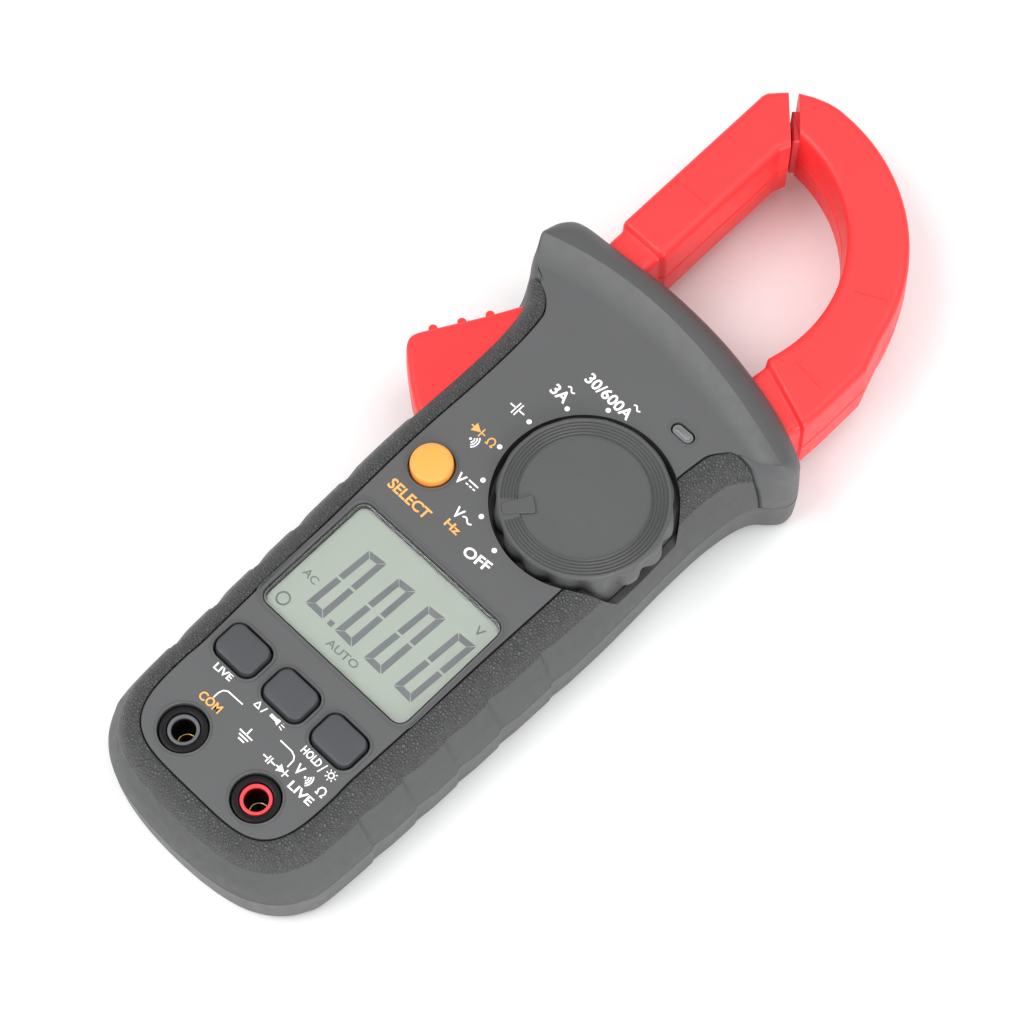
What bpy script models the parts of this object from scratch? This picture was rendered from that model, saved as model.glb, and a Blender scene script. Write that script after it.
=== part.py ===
"""Clamp meter lying on its flat back, as an assembly of separate parts.

Lengths are in millimetres inside this file and scaled to metres when a mesh is made.
+Z points out of the front panel, +Y runs from the input jacks towards the jaws, and the
origin is on the flat back of the rear case.
"""
import math

import bmesh
import bpy
from mathutils import Matrix, Vector

MM = 0.001
GAP = 0.3

# ---- Driving dimensions ------------------------------------------------------------
BACK_Z = 0.0
PARTING_Z = 11.5
RIM_Z = 20.9
PANEL_Z = 27.5
PANEL_TOP_IN = 25.5
FLOOR_Z = 2.0
GRIP_SKIN = 1.5
SHOULDER_IN = 8.75
CAVITY_TO_LEDGE = 0.9
FRONT_LOW_Z = PARTING_Z + GAP / 2
REAR_TOP_Z = PARTING_Z - GAP / 2
FLANGE_LOW_Y = 57.3
GRIP_HIGH_Y = 57.0
THROUGH_Z = 32.0
UNDER_PANEL_Z = 22.0

BATTERY_LENGTH = 44.5
BATTERY_RADIUS = 5.25
BATTERY_X = 5.9
BATTERY_Y = -28.2
BATTERY_Z = 7.5
BATTERY_SPRING_RADIUS = 1.8
BATTERY_SPRING_WIRE = 0.2
TRAY_LOW = (-15.0, -54.6, 1.0)
TRAY_HIGH = (15.0, -1.8, 10.95)

DOOR_HALF_WIDTH = 14.2
DOOR_LOW_Y = -53.0
DOOR_HIGH_Y = -3.3
DOOR_THICKNESS = 1.7
DOOR_SCREW = (0.0, -57.4)
DOOR_TAB_HALF = 4.2
DOOR_TAB_LOW_Y = -60.4

BOARD_LOW_Z = 15.5
BOARD_TOP_Z = 17.1

JACK_X = 10.0
JACK_Y = -60.0
JACK_WELL_RADIUS = 5.1
JACK_HOLE_RADIUS = 2.42
SHROUD_RADIUS = 4.8
SHROUD_BORE = 4.1
GUIDE_RADIUS = 3.17
CONTACT_RADIUS = 2.1
CONTACT_BORE = 1.75

KEY_PITCH = 13.24
KEY_Y = -41.03
KEY_HALF = (5.15, 4.0)
KEY_TOP_Z = 28.1

SELECT_POS = (-14.9, 12.1)
SELECT_RADIUS = 4.4
SELECT_TOP_Z = 29.6

WINDOW_HALF_WIDTH = 19.69
WINDOW_LOW_Y = -31.14
WINDOW_HIGH_Y = -2.07
WINDOW_SEAT_Z = 26.1
WINDOW_LEDGE = 2.05

DIAL_POS = (12.05, 27.57)
DIAL_WELL_RADIUS = 18.96
DIAL_WALL = 1.4
DIAL_FLOOR_THICKNESS = 0.9
DIAL_RIM_RADIUS = 18.6
DIAL_TOP_RADIUS = 16.8
DIAL_TOP_Z = 30.0
DIAL_LOW_Z = 22.8
DIAL_FLOOR_Z = 22.5
DIAL_SHAFT_RADIUS = 3.9
ROTOR_RADIUS = 12.0
POINTER_ANGLE = math.radians(233.1)
SCALLOPS = 16

JAW_LOW_Z = 4.5
JAW_MID_Z = 13.75
JAW_TOP_Z = 23.0
JAW_WALL = 2.2
PIVOT = (-20.5, 58.0)
PIVOT_RADIUS = 2.0
RUNNING_CLEARANCE = 0.05
TRIGGER_LOW_Z = 7.4
TRIGGER_TOP_Z = 20.0
PIVOT_BOSS_RADIUS = 4.4
CORE_LOW_Z = 9.7
CORE_TOP_Z = 17.8
COIL_LOW_Z = 7.0
COIL_TOP_Z = 20.5

HOOK_INNER_CENTRE = (-16.3, 87.9)
HOOK_INNER_RADIUS = 32.35
HOOK_OUTER_CENTRE = (-12.6, 89.6)
HOOK_OUTER_RADIUS = 42.2
MITRE_OUTER = (-22.6, 128.6)
MITRE_INNER = (-13.0, 118.7)
FIXED_PEG = (21.0, 58.0)
FIXED_PEG_RADIUS = 2.0

SPRING_ROOM_TOP = 9.6
SPRING_ROOM_RADIUS = 6.2
SPRING_RADIUS = 4.4
SPRING_WIRE_RADIUS = 0.45
SPRING_TURNS = 3
SPRING_LOW_Z = 5.2
SPRING_PITCH = 1.15
STEPS_A_TURN = 8

SCREWS = {
    "lower_left": (-18.2, -50.0),
    "lower_right": (18.2, -50.0),
    "upper_left": (-7.0, 44.0),
    "upper_right": (0.0, 60.0),
}
BOSS_RADIUS = 3.0
BOSS_TOP_Z = 25.75
SCREW_RADIUS = 1.3
SCREW_HEAD_RADIUS = 2.4
SCREW_CLEARANCE = 0.4
TORCH_X = -2.0
TORCH_Z = 18.0

# ---- Scene and materials -----------------------------------------------------------
for old_object in list(bpy.data.objects):
    bpy.data.objects.remove(old_object, do_unlink=True)

parts = bpy.data.collections.new("clamp_meter")
cutters = bpy.data.collections.new("cutters")
bpy.context.scene.collection.children.link(parts)
bpy.context.scene.collection.children.link(cutters)

FINISHES = {
    "case_plastic": ((0.075, 0.078, 0.080), 0.50, 0.0),
    "grip_rubber": ((0.060, 0.062, 0.064), 0.62, 0.0),
    "jaw_plastic": ((0.850, 0.060, 0.060), 0.38, 0.0),
    "dial_plastic": ((0.065, 0.067, 0.070), 0.55, 0.0),
    "key_rubber": ((0.085, 0.090, 0.100), 0.60, 0.0),
    "yellow_plastic": ((0.950, 0.500, 0.050), 0.40, 0.0),
    "black_plastic": ((0.010, 0.010, 0.011), 0.45, 0.0),
    "ring_grey": ((0.160, 0.165, 0.170), 0.45, 0.0),
    "ring_red": ((0.800, 0.050, 0.050), 0.40, 0.0),
    "clear_plastic": ((0.850, 0.900, 0.880), 0.08, 0.0),
    "lcd_glass": ((0.560, 0.620, 0.560), 0.20, 0.0),
    "white_plastic": ((0.800, 0.800, 0.780), 0.45, 0.0),
    "board_green": ((0.040, 0.220, 0.080), 0.45, 0.0),
    "zebra_rubber": ((0.120, 0.120, 0.130), 0.70, 0.0),
    "brass": ((0.780, 0.570, 0.220), 0.30, 1.0),
    "steel": ((0.620, 0.620, 0.640), 0.30, 1.0),
    "core_steel": ((0.300, 0.300, 0.320), 0.40, 1.0),
    "copper_wire": ((0.720, 0.300, 0.120), 0.35, 1.0),
    "battery_label": ((0.120, 0.150, 0.400), 0.40, 0.0),
}
materials = {}


def material(slot):
    """The Principled material of one finish, made once."""
    if slot in materials:
        return materials[slot]
    colour, roughness, metallic = FINISHES[slot]
    made = bpy.data.materials.new(slot)
    made.use_nodes = True
    shader = made.node_tree.nodes["Principled BSDF"]
    shader.inputs["Base Color"].default_value = (*colour, 1.0)
    shader.inputs["Roughness"].default_value = roughness
    shader.inputs["Metallic"].default_value = metallic
    made.diffuse_color = (*colour, 1.0)
    materials[slot] = made
    return made


# ---- Mesh helpers ------------------------------------------------------------------
def finish_object(name, mesh_builder, slot, collection):
    """Turn a bmesh in millimetres into an object in metres."""
    bmesh.ops.scale(mesh_builder, vec=(MM, MM, MM), verts=mesh_builder.verts)
    mesh = bpy.data.meshes.new(name)
    mesh_builder.to_mesh(mesh)
    mesh_builder.free()
    made = bpy.data.objects.new(name, mesh)
    collection.objects.link(made)
    if slot:
        mesh.materials.append(material(slot))
        mesh.shade_smooth()
        mesh.set_sharp_from_angle(angle=math.radians(35))
    if collection is cutters:
        made.hide_render = True
        made.display_type = "WIRE"
    return made


def loft(name, rings, slot=None, collection=parts):
    """A closed solid through rings of equal point counts, listed from bottom to top."""
    builder = bmesh.new()
    rows = [[builder.verts.new(point) for point in ring] for ring in rings]
    count = len(rows[0])
    for lower, upper in zip(rows, rows[1:]):
        for i in range(count):
            j = (i + 1) % count
            builder.faces.new((lower[i], lower[j], upper[j], upper[i]))
    if len(rows) > 2:
        bmesh.ops.triangulate(builder, faces=builder.faces)
    builder.faces.new(reversed(rows[0]))
    builder.faces.new(rows[-1])
    return finish_object(name, builder, slot, collection)


def prism(name, outline, low_z, high_z, slot=None, collection=parts):
    """An upright prism on a flat outline."""
    rings = [[(x, y, z) for x, y in outline] for z in (low_z, high_z)]
    return loft(name, rings, slot, collection)


def box(name, low, high, slot=None, collection=parts):
    """An upright box between two corners."""
    builder = bmesh.new()
    bmesh.ops.create_cube(builder, size=1.0)
    size = [b - a for a, b in zip(low, high)]
    middle = [(a + b) / 2 for a, b in zip(low, high)]
    bmesh.ops.scale(builder, vec=size, verts=builder.verts)
    bmesh.ops.translate(builder, vec=middle, verts=builder.verts)
    return finish_object(name, builder, slot, collection)


def cylinder(name, centre, radius, low_z, high_z, slot=None, collection=parts, segments=24):
    """An upright cylinder."""
    builder = bmesh.new()
    bmesh.ops.create_cone(
        builder, cap_ends=True, segments=segments, radius1=radius, radius2=radius, depth=high_z - low_z
    )
    bmesh.ops.translate(builder, vec=(*centre, (low_z + high_z) / 2), verts=builder.verts)
    return finish_object(name, builder, slot, collection)


def turned(name, centre, profile, slot=None, collection=parts, steps=32):
    """A Screw-modifier solid from a profile of (radius, z) that runs down its outer side."""
    mesh = bpy.data.meshes.new(name)
    points = [(radius * MM, 0.0, z * MM) for radius, z in profile]
    edges = [(i, i + 1) for i in range(len(points) - 1)]
    if profile[0][0] > 0 and profile[-1][0] > 0:
        edges.append((len(points) - 1, 0))
    mesh.from_pydata(points, edges, [])
    made = bpy.data.objects.new(name, mesh)
    collection.objects.link(made)
    made.location = (centre[0] * MM, centre[1] * MM, 0.0)
    screw = made.modifiers.new("turn", "SCREW")
    screw.steps = steps
    screw.render_steps = steps
    screw.use_merge_vertices = True
    screw.merge_threshold = 0.000001
    screw.use_smooth_shade = False
    if slot:
        mesh.materials.append(material(slot))
    if collection is cutters:
        made.hide_render = True
        made.display_type = "WIRE"
    return made


def wire(name, points, radius, slot):
    """A round wire along a polyline, with closed ends."""
    curve = bpy.data.curves.new(name, "CURVE")
    curve.dimensions = "3D"
    curve.bevel_depth = radius * MM
    curve.bevel_resolution = 1
    curve.use_fill_caps = True
    spline = curve.splines.new("POLY")
    spline.points.add(len(points) - 1)
    for point, place in zip(spline.points, points):
        point.co = (place[0] * MM, place[1] * MM, place[2] * MM, 1.0)
    curve.materials.append(material(slot))
    made = bpy.data.objects.new(name, curve)
    parts.objects.link(made)
    return made


def boolean(target, cutter, operation):
    """Add an exact Boolean between two solids."""
    step = target.modifiers.new(operation.lower(), "BOOLEAN")
    step.operation = operation
    step.solver = "EXACT"
    step.object = cutter
    return target


def cut(target, *tools):
    """Cut each tool out of the target."""
    for tool in tools:
        boolean(target, tool, "DIFFERENCE")
    return target


def join(target, *tools):
    """Add each tool to the target."""
    for tool in tools:
        boolean(target, tool, "UNION")
    return target


def smooth_closed(control, steps):
    """A closed Catmull-Rom curve through control points."""
    count = len(control)
    points = []
    for i in range(count):
        p0, p1, p2, p3 = (control[(i + k) % count] for k in (-1, 0, 1, 2))
        for k in range(steps):
            t = k / steps
            points.append(
                tuple(
                    0.5
                    * (
                        2 * b
                        + (c - a) * t
                        + (2 * a - 5 * b + 4 * c - d) * t * t
                        + (3 * b - a - 3 * c + d) * t ** 3
                    )
                    for a, b, c, d in zip(p0, p1, p2, p3)
                )
            )
    return points


def arc(centre, radius, start_degrees, end_degrees, steps):
    """Points along a circular arc."""
    points = []
    for k in range(steps + 1):
        angle = math.radians(start_degrees + (end_degrees - start_degrees) * k / steps)
        points.append((centre[0] + radius * math.cos(angle), centre[1] + radius * math.sin(angle)))
    return points


def rounded_rectangle(low, high, radius, steps=3):
    """A rectangle with rounded corners, anticlockwise."""
    corners = (
        ((high[0] - radius, low[1] + radius), -90),
        ((high[0] - radius, high[1] - radius), 0),
        ((low[0] + radius, high[1] - radius), 90),
        ((low[0] + radius, low[1] + radius), 180),
    )
    outline = []
    for centre, start in corners:
        outline += arc(centre, radius, start, start + 90, steps)
    return outline


def inset_outline(outline, distance_at):
    """Move each point of an anticlockwise outline inwards by distance_at(x, y)."""
    moved = []
    count = len(outline)
    for i in range(count):
        before = Vector(outline[i - 1])
        here = Vector(outline[i])
        after = Vector(outline[(i + 1) % count])
        first = (here - before).normalized()
        second = (after - here).normalized()
        normal_a = Vector((-first.y, first.x))
        normal_b = Vector((-second.y, second.x))
        bisector = (normal_a + normal_b).normalized()
        stretch = 1 / max(bisector.dot(normal_a), 0.5)
        moved.append(tuple(here + bisector * stretch * distance_at(*here)))
    return moved


def inset_by(outline, distance):
    """Move an anticlockwise outline inwards by one distance."""
    return inset_outline(outline, lambda x, y: distance)


def set_origin(made, x, y, z=0.0):
    """Move an object's origin onto its joint axis without moving its shape."""
    origin = Vector((x * MM, y * MM, z * MM)) - made.location
    made.data.transform(Matrix.Translation(-origin))
    made.location += origin
    return made


# ---- Case outline ------------------------------------------------------------------
def smoothstep(value, low, high):
    t = min(max((value - low) / (high - low), 0.0), 1.0)
    return t * t * (3 - 2 * t)


def case_outline():
    """The case seen from the front at its parting line, anticlockwise from the bottom end."""
    side = [
        (0.0, -75.4), (9.0, -74.9), (17.0, -73.2), (22.8, -70.0), (26.6, -65.4), (28.4, -59.0),
        (29.4, -36.0), (30.0, -10.0), (30.6, 14.0), (30.2, 34.0), (30.6, 46.0), (32.4, 54.5),
    ]
    flange_right = [(36.0, 58.8), (37.6, 62.0), (35.6, 65.6)]
    flange_top = [(24.5, 70.4), (9.0, 74.1), (-7.0, 75.4), (-22.0, 74.6)]
    flange_left = [(-32.8, 72.6), (-37.0, 69.6), (-37.6, 65.2), (-35.8, 60.0), (-32.6, 53.5)]
    left = [(-x, y) for x, y in side[1:-1]][::-1]
    return smooth_closed(side + flange_right + flange_top + flange_left + left, 2)


CASE_OUTLINE = case_outline()


def case_ring(z, body_inset, flange_inset, bulge=0.0):
    """The case outline at height z. The flange keeps a steeper side than the body."""

    def distance(x, y):
        to_flange = smoothstep(y, 50.0, 60.0)
        beside_dial = math.exp(-(((y - DIAL_POS[1]) / 12.0) ** 2)) if x > 0 else 0.0
        return body_inset * (1 - to_flange) + flange_inset * to_flange - bulge * beside_dial

    return [(x, y, z) for x, y in inset_outline(CASE_OUTLINE, distance)]


def case_levels(extra, low_z, with_ledge=False):
    """Rings of the front half, moved inwards by extra millimetres."""
    flange_extra = max(extra - CAVITY_TO_LEDGE, 0.0)
    panel_inset = SHOULDER_IN + max(extra - GRIP_SKIN, 0.0)
    rings = [
        case_ring(low_z, 0.0 + extra, 0.0 + flange_extra),
        case_ring(RIM_Z, 3.1 + extra, 0.5 + flange_extra, 2.0),
        case_ring(24.2, 3.9 + extra, 0.9 + flange_extra, 2.0),
        case_ring(26.4 - extra * 0.5, 5.8 + extra * 0.8, 1.4 + flange_extra, 1.2),
    ]
    if with_ledge:
        rings.append(case_ring(26.5, panel_inset + 0.1, 2.2 + flange_extra))
        rings.append(case_ring(PANEL_Z + 1.0, panel_inset, 2.1 + flange_extra))
    else:
        rings.append(case_ring(PANEL_Z, SHOULDER_IN, 2.4))
    return rings


# ---- Case shells -------------------------------------------------------------------
def dial_wall():
    """Solid that keeps the main cavity clear of the dial's well."""
    radius = DIAL_WELL_RADIUS + DIAL_WALL
    low_z = DIAL_FLOOR_Z - DIAL_FLOOR_THICKNESS
    return cylinder("cutter_dial_wall", DIAL_POS, radius, low_z, 31.0, None, cutters, 48)


def make_case_cutters():
    """Tools that both case halves and the grip share."""
    tools = {}
    tools["dial_well"] = cylinder(
        "cutter_dial_well", DIAL_POS, DIAL_WELL_RADIUS, DIAL_FLOOR_Z, THROUGH_Z, None, cutters, 64
    )
    low = (-45, 19.0, TRIGGER_LOW_Z - 2 * GAP)
    high = (-21, 55.0, TRIGGER_TOP_Z + 2 * GAP)
    tools["trigger_slot"] = box("cutter_trigger_slot", low, high, None, cutters)
    low = (-34.6, 53.0, JAW_LOW_Z - GAP)
    high = (-13.0, 80.0, JAW_TOP_Z + 0.4)
    tools["moving_slot"] = box("cutter_moving_slot", low, high, None, cutters)
    fixed_slot = [(9.6, 50.0), (26.0, 50.0), (26.9, 56.6), (30.0, 61.7)]
    fixed_slot += [(32.2, 71.0), (32.2, 80.0), (9.6, 80.0)]
    tools["fixed_slot"] = prism(
        "cutter_fixed_slot", fixed_slot, JAW_LOW_Z - GAP, JAW_TOP_Z + GAP, None, cutters
    )
    tools["torch_hole"] = cylinder("cutter_torch_hole", (0, 0), 2.7, 66.0, 80.0, None, cutters, 20)
    turn = Matrix.Rotation(math.radians(-90), 4, "X")
    tools["torch_hole"].data.transform(Matrix.Translation((TORCH_X * MM, 0, TORCH_Z * MM)) @ turn)
    return tools


def make_front_case(tools):
    """Front shell: the panel, the ledge under the grip, and the front of the hand guard."""
    case = loft("front_case", case_levels(0.0, FRONT_LOW_Z), "case_plastic")
    keep = loft("keep_front_case", case_levels(GRIP_SKIN + GAP, FRONT_LOW_Z - 1, True), None, cutters)
    join(keep, box("keep_flange", (-45, FLANGE_LOW_Y, 5), (45, 85, 33), None, cutters))
    boolean(case, keep, "INTERSECT")

    cavity = loft(
        "cutter_front_cavity",
        [
            case_ring(FRONT_LOW_Z - 1.0, 3.4, 2.2),
            case_ring(RIM_Z, 6.4, 2.8, 1.2),
            case_ring(23.4, 7.6, 3.0),
            case_ring(PANEL_TOP_IN, 10.6, 3.6),
        ],
        None,
        cutters,
    )
    cut(cavity, dial_wall())
    cut(case, cavity)

    low_z = FRONT_LOW_Z + 0.6
    for name, spot in SCREWS.items():
        join(case, cylinder("boss_" + name, spot, BOSS_RADIUS, low_z, BOSS_TOP_Z, None, cutters, 16))
    low_z = JAW_TOP_Z + GAP
    pivot_boss = cylinder(
        "boss_front_pivot", PIVOT, PIVOT_BOSS_RADIUS, low_z, BOSS_TOP_Z, None, cutters, 20
    )
    join(case, pivot_boss)

    cut(case, tools["dial_well"], tools["trigger_slot"], tools["moving_slot"], tools["fixed_slot"])
    cut(case, tools["torch_hole"])
    for name, spot in SCREWS.items():
        tool_name = "cutter_pilot_" + name
        cut(case, cylinder(tool_name, spot, SCREW_RADIUS + GAP, 5.0, 24.0, None, cutters, 12))
    pin_hole = cylinder(
        "cutter_front_pin", PIVOT, PIVOT_RADIUS + RUNNING_CLEARANCE, 20.0, 25.5, None, cutters, 32
    )
    cut(case, pin_hole)

    for side in (-1, 1):
        spot = (side * JACK_X, JACK_Y)
        tool_name = "cutter_jack_well_" + str(side)
        cut(case, cylinder(tool_name, spot, JACK_WELL_RADIUS, 20.0, THROUGH_Z, None, cutters, 32))
    for k in (-1, 0, 1):
        low = (k * KEY_PITCH - KEY_HALF[0] - GAP, KEY_Y - KEY_HALF[1] - GAP)
        high = (k * KEY_PITCH + KEY_HALF[0] + GAP, KEY_Y + KEY_HALF[1] + GAP)
        outline = rounded_rectangle(low, high, 2.6)
        cut(case, prism("cutter_key_" + str(k), outline, UNDER_PANEL_Z, THROUGH_Z, None, cutters))
    radius = SELECT_RADIUS + 0.35
    select_hole = cylinder(
        "cutter_select", SELECT_POS, radius, UNDER_PANEL_Z, THROUGH_Z, None, cutters, 32
    )
    cut(case, select_hole)

    ledge = rounded_rectangle(
        (-WINDOW_HALF_WIDTH, WINDOW_LOW_Y), (WINDOW_HALF_WIDTH, WINDOW_HIGH_Y), 2.6
    )
    cut(case, prism("cutter_window_ledge", ledge, WINDOW_SEAT_Z, THROUGH_Z, None, cutters))
    half_width = WINDOW_HALF_WIDTH - WINDOW_LEDGE
    low = (-half_width, WINDOW_LOW_Y + WINDOW_LEDGE)
    high = (half_width, WINDOW_HIGH_Y - WINDOW_LEDGE)
    opening = rounded_rectangle(low, high, 1.2)
    cut(case, prism("cutter_window_opening", opening, UNDER_PANEL_Z, THROUGH_Z, None, cutters))
    radius = DIAL_SHAFT_RADIUS + 0.06
    cut(case, cylinder("cutter_dial_shaft", DIAL_POS, radius, 20.0, 24.0, None, cutters, 48))
    cut(case, prism("cutter_indicator", indicator_outline(GAP), 23.0, THROUGH_Z, None, cutters))
    return case


def make_grip(tools):
    """Moulded-on grip: the shoulder and side wall outside the panel, open beside the dial."""
    grip = loft("grip_overmould", case_levels(0.0, FRONT_LOW_Z), "grip_rubber")
    core = loft("cutter_grip_core", case_levels(GRIP_SKIN, FRONT_LOW_Z - 1.0, True), None, cutters)
    cut(grip, core)
    cut(grip, box("cutter_grip_flange", (-45, GRIP_HIGH_Y, 5), (45, 85, 33), None, cutters))
    return cut(grip, tools["dial_well"], tools["trigger_slot"])


def make_rear_case(tools):
    """Rear shell with the battery compartment, screw posts and jaw pegs."""
    case = loft(
        "rear_case",
        [
            case_ring(BACK_Z, 3.2, 3.0),
            case_ring(0.9, 1.5, 1.3),
            case_ring(3.2, 0.4, 0.4),
            case_ring(REAR_TOP_Z, 0.0, 0.0),
        ],
        "case_plastic",
    )
    cavity = loft(
        "cutter_rear_cavity",
        [
            case_ring(FLOOR_Z, 4.0, 4.0),
            case_ring(4.0, 2.6, 2.6),
            case_ring(REAR_TOP_Z + 1.0, 2.2, 2.2),
        ],
        None,
        cutters,
    )
    cut(case, cavity, tools["fixed_slot"])

    tray = box("battery_tray", TRAY_LOW, TRAY_HIGH, None, cutters)
    tray_room = box("cutter_tray_room", (-12.6, -53.3, 0.5), (12.6, -3.0, 15.0), None, cutters)
    cut(tray, tray_room)
    join(case, tray)
    for name, spot in SCREWS.items():
        join(case, cylinder("post_" + name, spot, BOSS_RADIUS, 1.0, REAR_TOP_Z, None, cutters, 16))
    high_z = REAR_TOP_Z - 0.8
    join(case, cylinder("post_door", DOOR_SCREW, BOSS_RADIUS, 1.0, high_z, None, cutters, 16))
    high_z = JAW_LOW_Z - GAP
    join(case, cylinder("post_pivot", PIVOT, PIVOT_BOSS_RADIUS, 1.0, high_z, None, cutters, 24))
    join(case, cylinder("peg_fixed_jaw", FIXED_PEG, FIXED_PEG_RADIUS, 1.0, 9.0, None, cutters, 20))

    door_room = rounded_rectangle(
        (-DOOR_HALF_WIDTH - GAP, DOOR_LOW_Y - GAP), (DOOR_HALF_WIDTH + GAP, DOOR_HIGH_Y + GAP), 2.3
    )
    cut(case, prism("cutter_door", door_room, -1.0, FLOOR_Z + 0.1, None, cutters))
    tab_low = (-DOOR_TAB_HALF - GAP, DOOR_TAB_LOW_Y - GAP, -1.0)
    tab_high = (DOOR_TAB_HALF + GAP, DOOR_LOW_Y, FLOOR_Z + 0.1)
    cut(case, box("cutter_door_tab", tab_low, tab_high, None, cutters))
    cut(case, cylinder("cutter_door_pilot", DOOR_SCREW, 1.4, -1.0, 9.6, None, cutters, 12))
    cut(case, tools["trigger_slot"], tools["moving_slot"])
    head = SCREW_HEAD_RADIUS + SCREW_CLEARANCE
    shank = SCREW_RADIUS + SCREW_CLEARANCE
    for name, spot in SCREWS.items():
        cut(case, cylinder("cutter_head_" + name, spot, head, -1.0, 3.6, None, cutters, 14))
        cut(case, cylinder("cutter_shank_" + name, spot, shank, 3.0, 13.0, None, cutters, 12))
    radius = PIVOT_RADIUS + RUNNING_CLEARANCE
    cut(case, cylinder("cutter_rear_pin", PIVOT, radius, 1.6, 9.0, None, cutters, 32))
    return case


def indicator_outline(grow):
    """Obround window of the live-wire indicator."""
    low = (13.2 - grow, 50.8 - grow)
    high = (18.2 + grow, 53.2 + grow)
    return rounded_rectangle(low, high, 1.2 + grow)


# ---- Jaws --------------------------------------------------------------------------
def moving_limb_outline():
    """Straight limb with the mitred tip, down to the hub round the pivot."""
    outline = [(-27.8, 60.0), (-27.8, 123.4), (-24.3, 127.2), (-14.2, 117.0), (-15.1, 114.8)]
    outline += [(-15.1, 64.0), (-13.6, 59.0), (-14.6, 54.0), (-18.0, 51.4), (-24.0, 51.4), (-27.0, 54.5)]
    return outline[::-1]


def trigger_outline():
    """Finger lever, from the hub out through the side of the case."""
    outline = [(-14.4, 56.0), (-17.0, 60.0), (-24.0, 60.0), (-29.4, 54.2), (-34.0, 45.6), (-38.8, 37.6)]
    outline += [(-41.3, 33.4), (-41.6, 31.6), (-40.6, 29.9), (-38.0, 27.6), (-33.0, 23.7), (-28.0, 20.6)]
    outline += [(-25.4, 21.6), (-23.4, 30.0), (-20.0, 42.0)]
    return outline


def meets_circle(inset, centre, radius):
    """Angle in degrees where the mitre face, moved back by inset, meets a circle."""
    along = (Vector(MITRE_INNER) - Vector(MITRE_OUTER)).normalized()
    away = Vector((-along.y, along.x))
    start = Vector(MITRE_OUTER) + away * inset - Vector(centre)
    half = start.dot(along)
    reach = -half - math.sqrt(half * half - start.length_squared + radius * radius)
    far = -half + math.sqrt(half * half - start.length_squared + radius * radius)
    hits = [start + along * distance for distance in (reach, far)]
    best = min(hits, key=lambda hit: (hit + Vector(centre) - Vector(MITRE_OUTER)).length)
    return math.degrees(math.atan2(best.y, best.x))


def fixed_hook_outline(inset=0.0):
    """Hooked limb: root in the case, outer side, tip, mitre face and round inner side."""
    root = [(12.4 + inset, 50.4 + inset), (25.6 - inset, 50.4 + inset)]
    side = [(26.4 - inset, 56.8), (29.4 - inset, 62.0), (31.2 - inset, 71.0)]
    side += [(31.7 - inset, 78.0), (31.2 - inset, 87.0)]
    outer_end = 92.0
    tip = [(-16.4, 131.4), MITRE_OUTER]
    if inset:
        outer_end = meets_circle(inset, HOOK_OUTER_CENTRE, HOOK_OUTER_RADIUS - inset)
        tip = []
    inner_start = meets_circle(inset, HOOK_INNER_CENTRE, HOOK_INNER_RADIUS + inset)
    outer = arc(HOOK_OUTER_CENTRE, HOOK_OUTER_RADIUS - inset, 12, outer_end, 14)
    inner = arc(HOOK_INNER_CENTRE, HOOK_INNER_RADIUS + inset, inner_start, -24, 14)
    return root + side + outer + tip + inner + [(12.6 + inset, 66.0)]


def jaw_shell(name, outline, low_z, high_z, open_low):
    """Half of a jaw: rounded on its outer face, hollow from its parting face."""
    if open_low:
        levels = ((low_z, 0.0), (high_z - 1.6, 0.3), (high_z - 0.5, 0.75), (high_z, 1.6))
    else:
        levels = ((low_z, 1.6), (low_z + 0.5, 0.75), (low_z + 1.6, 0.3), (high_z, 0.0))
    rings = [[(x, y, z) for x, y in inset_by(outline, inset)] for z, inset in levels]
    return loft(name, rings, "jaw_plastic")


def make_fixed_jaw():
    outline = fixed_hook_outline()
    front = jaw_shell("fixed_jaw_front", outline, JAW_MID_Z + GAP / 2, JAW_TOP_Z, True)
    rear = jaw_shell("fixed_jaw_rear", outline, JAW_LOW_Z, JAW_MID_Z - GAP / 2, False)
    room = prism(
        "cutter_fixed_room", fixed_hook_outline(JAW_WALL), JAW_LOW_Z + 2.0, JAW_TOP_Z - 2.0, None, cutters
    )
    radius = FIXED_PEG_RADIUS + 0.4
    peg_hole = cylinder("cutter_fixed_peg", FIXED_PEG, radius, 0.0, 9.6, None, cutters, 20)
    cut(front, room)
    cut(rear, room, peg_hole)
    core = prism("fixed_core", fixed_hook_outline(5.0), CORE_LOW_Z, CORE_TOP_Z, "core_steel")
    cut(core, box("cutter_core_root", (0, 40, 0), (40, 52.9, 30), None, cutters))
    coil = box("fixed_coil", (15.0, 62.2, COIL_LOW_Z), (27.0, 69.0, COIL_TOP_Z), "copper_wire")
    cut(coil, box("cutter_fixed_coil", (17.0, 50, 9.2), (25.9, 80, 18.3), None, cutters))


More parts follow.
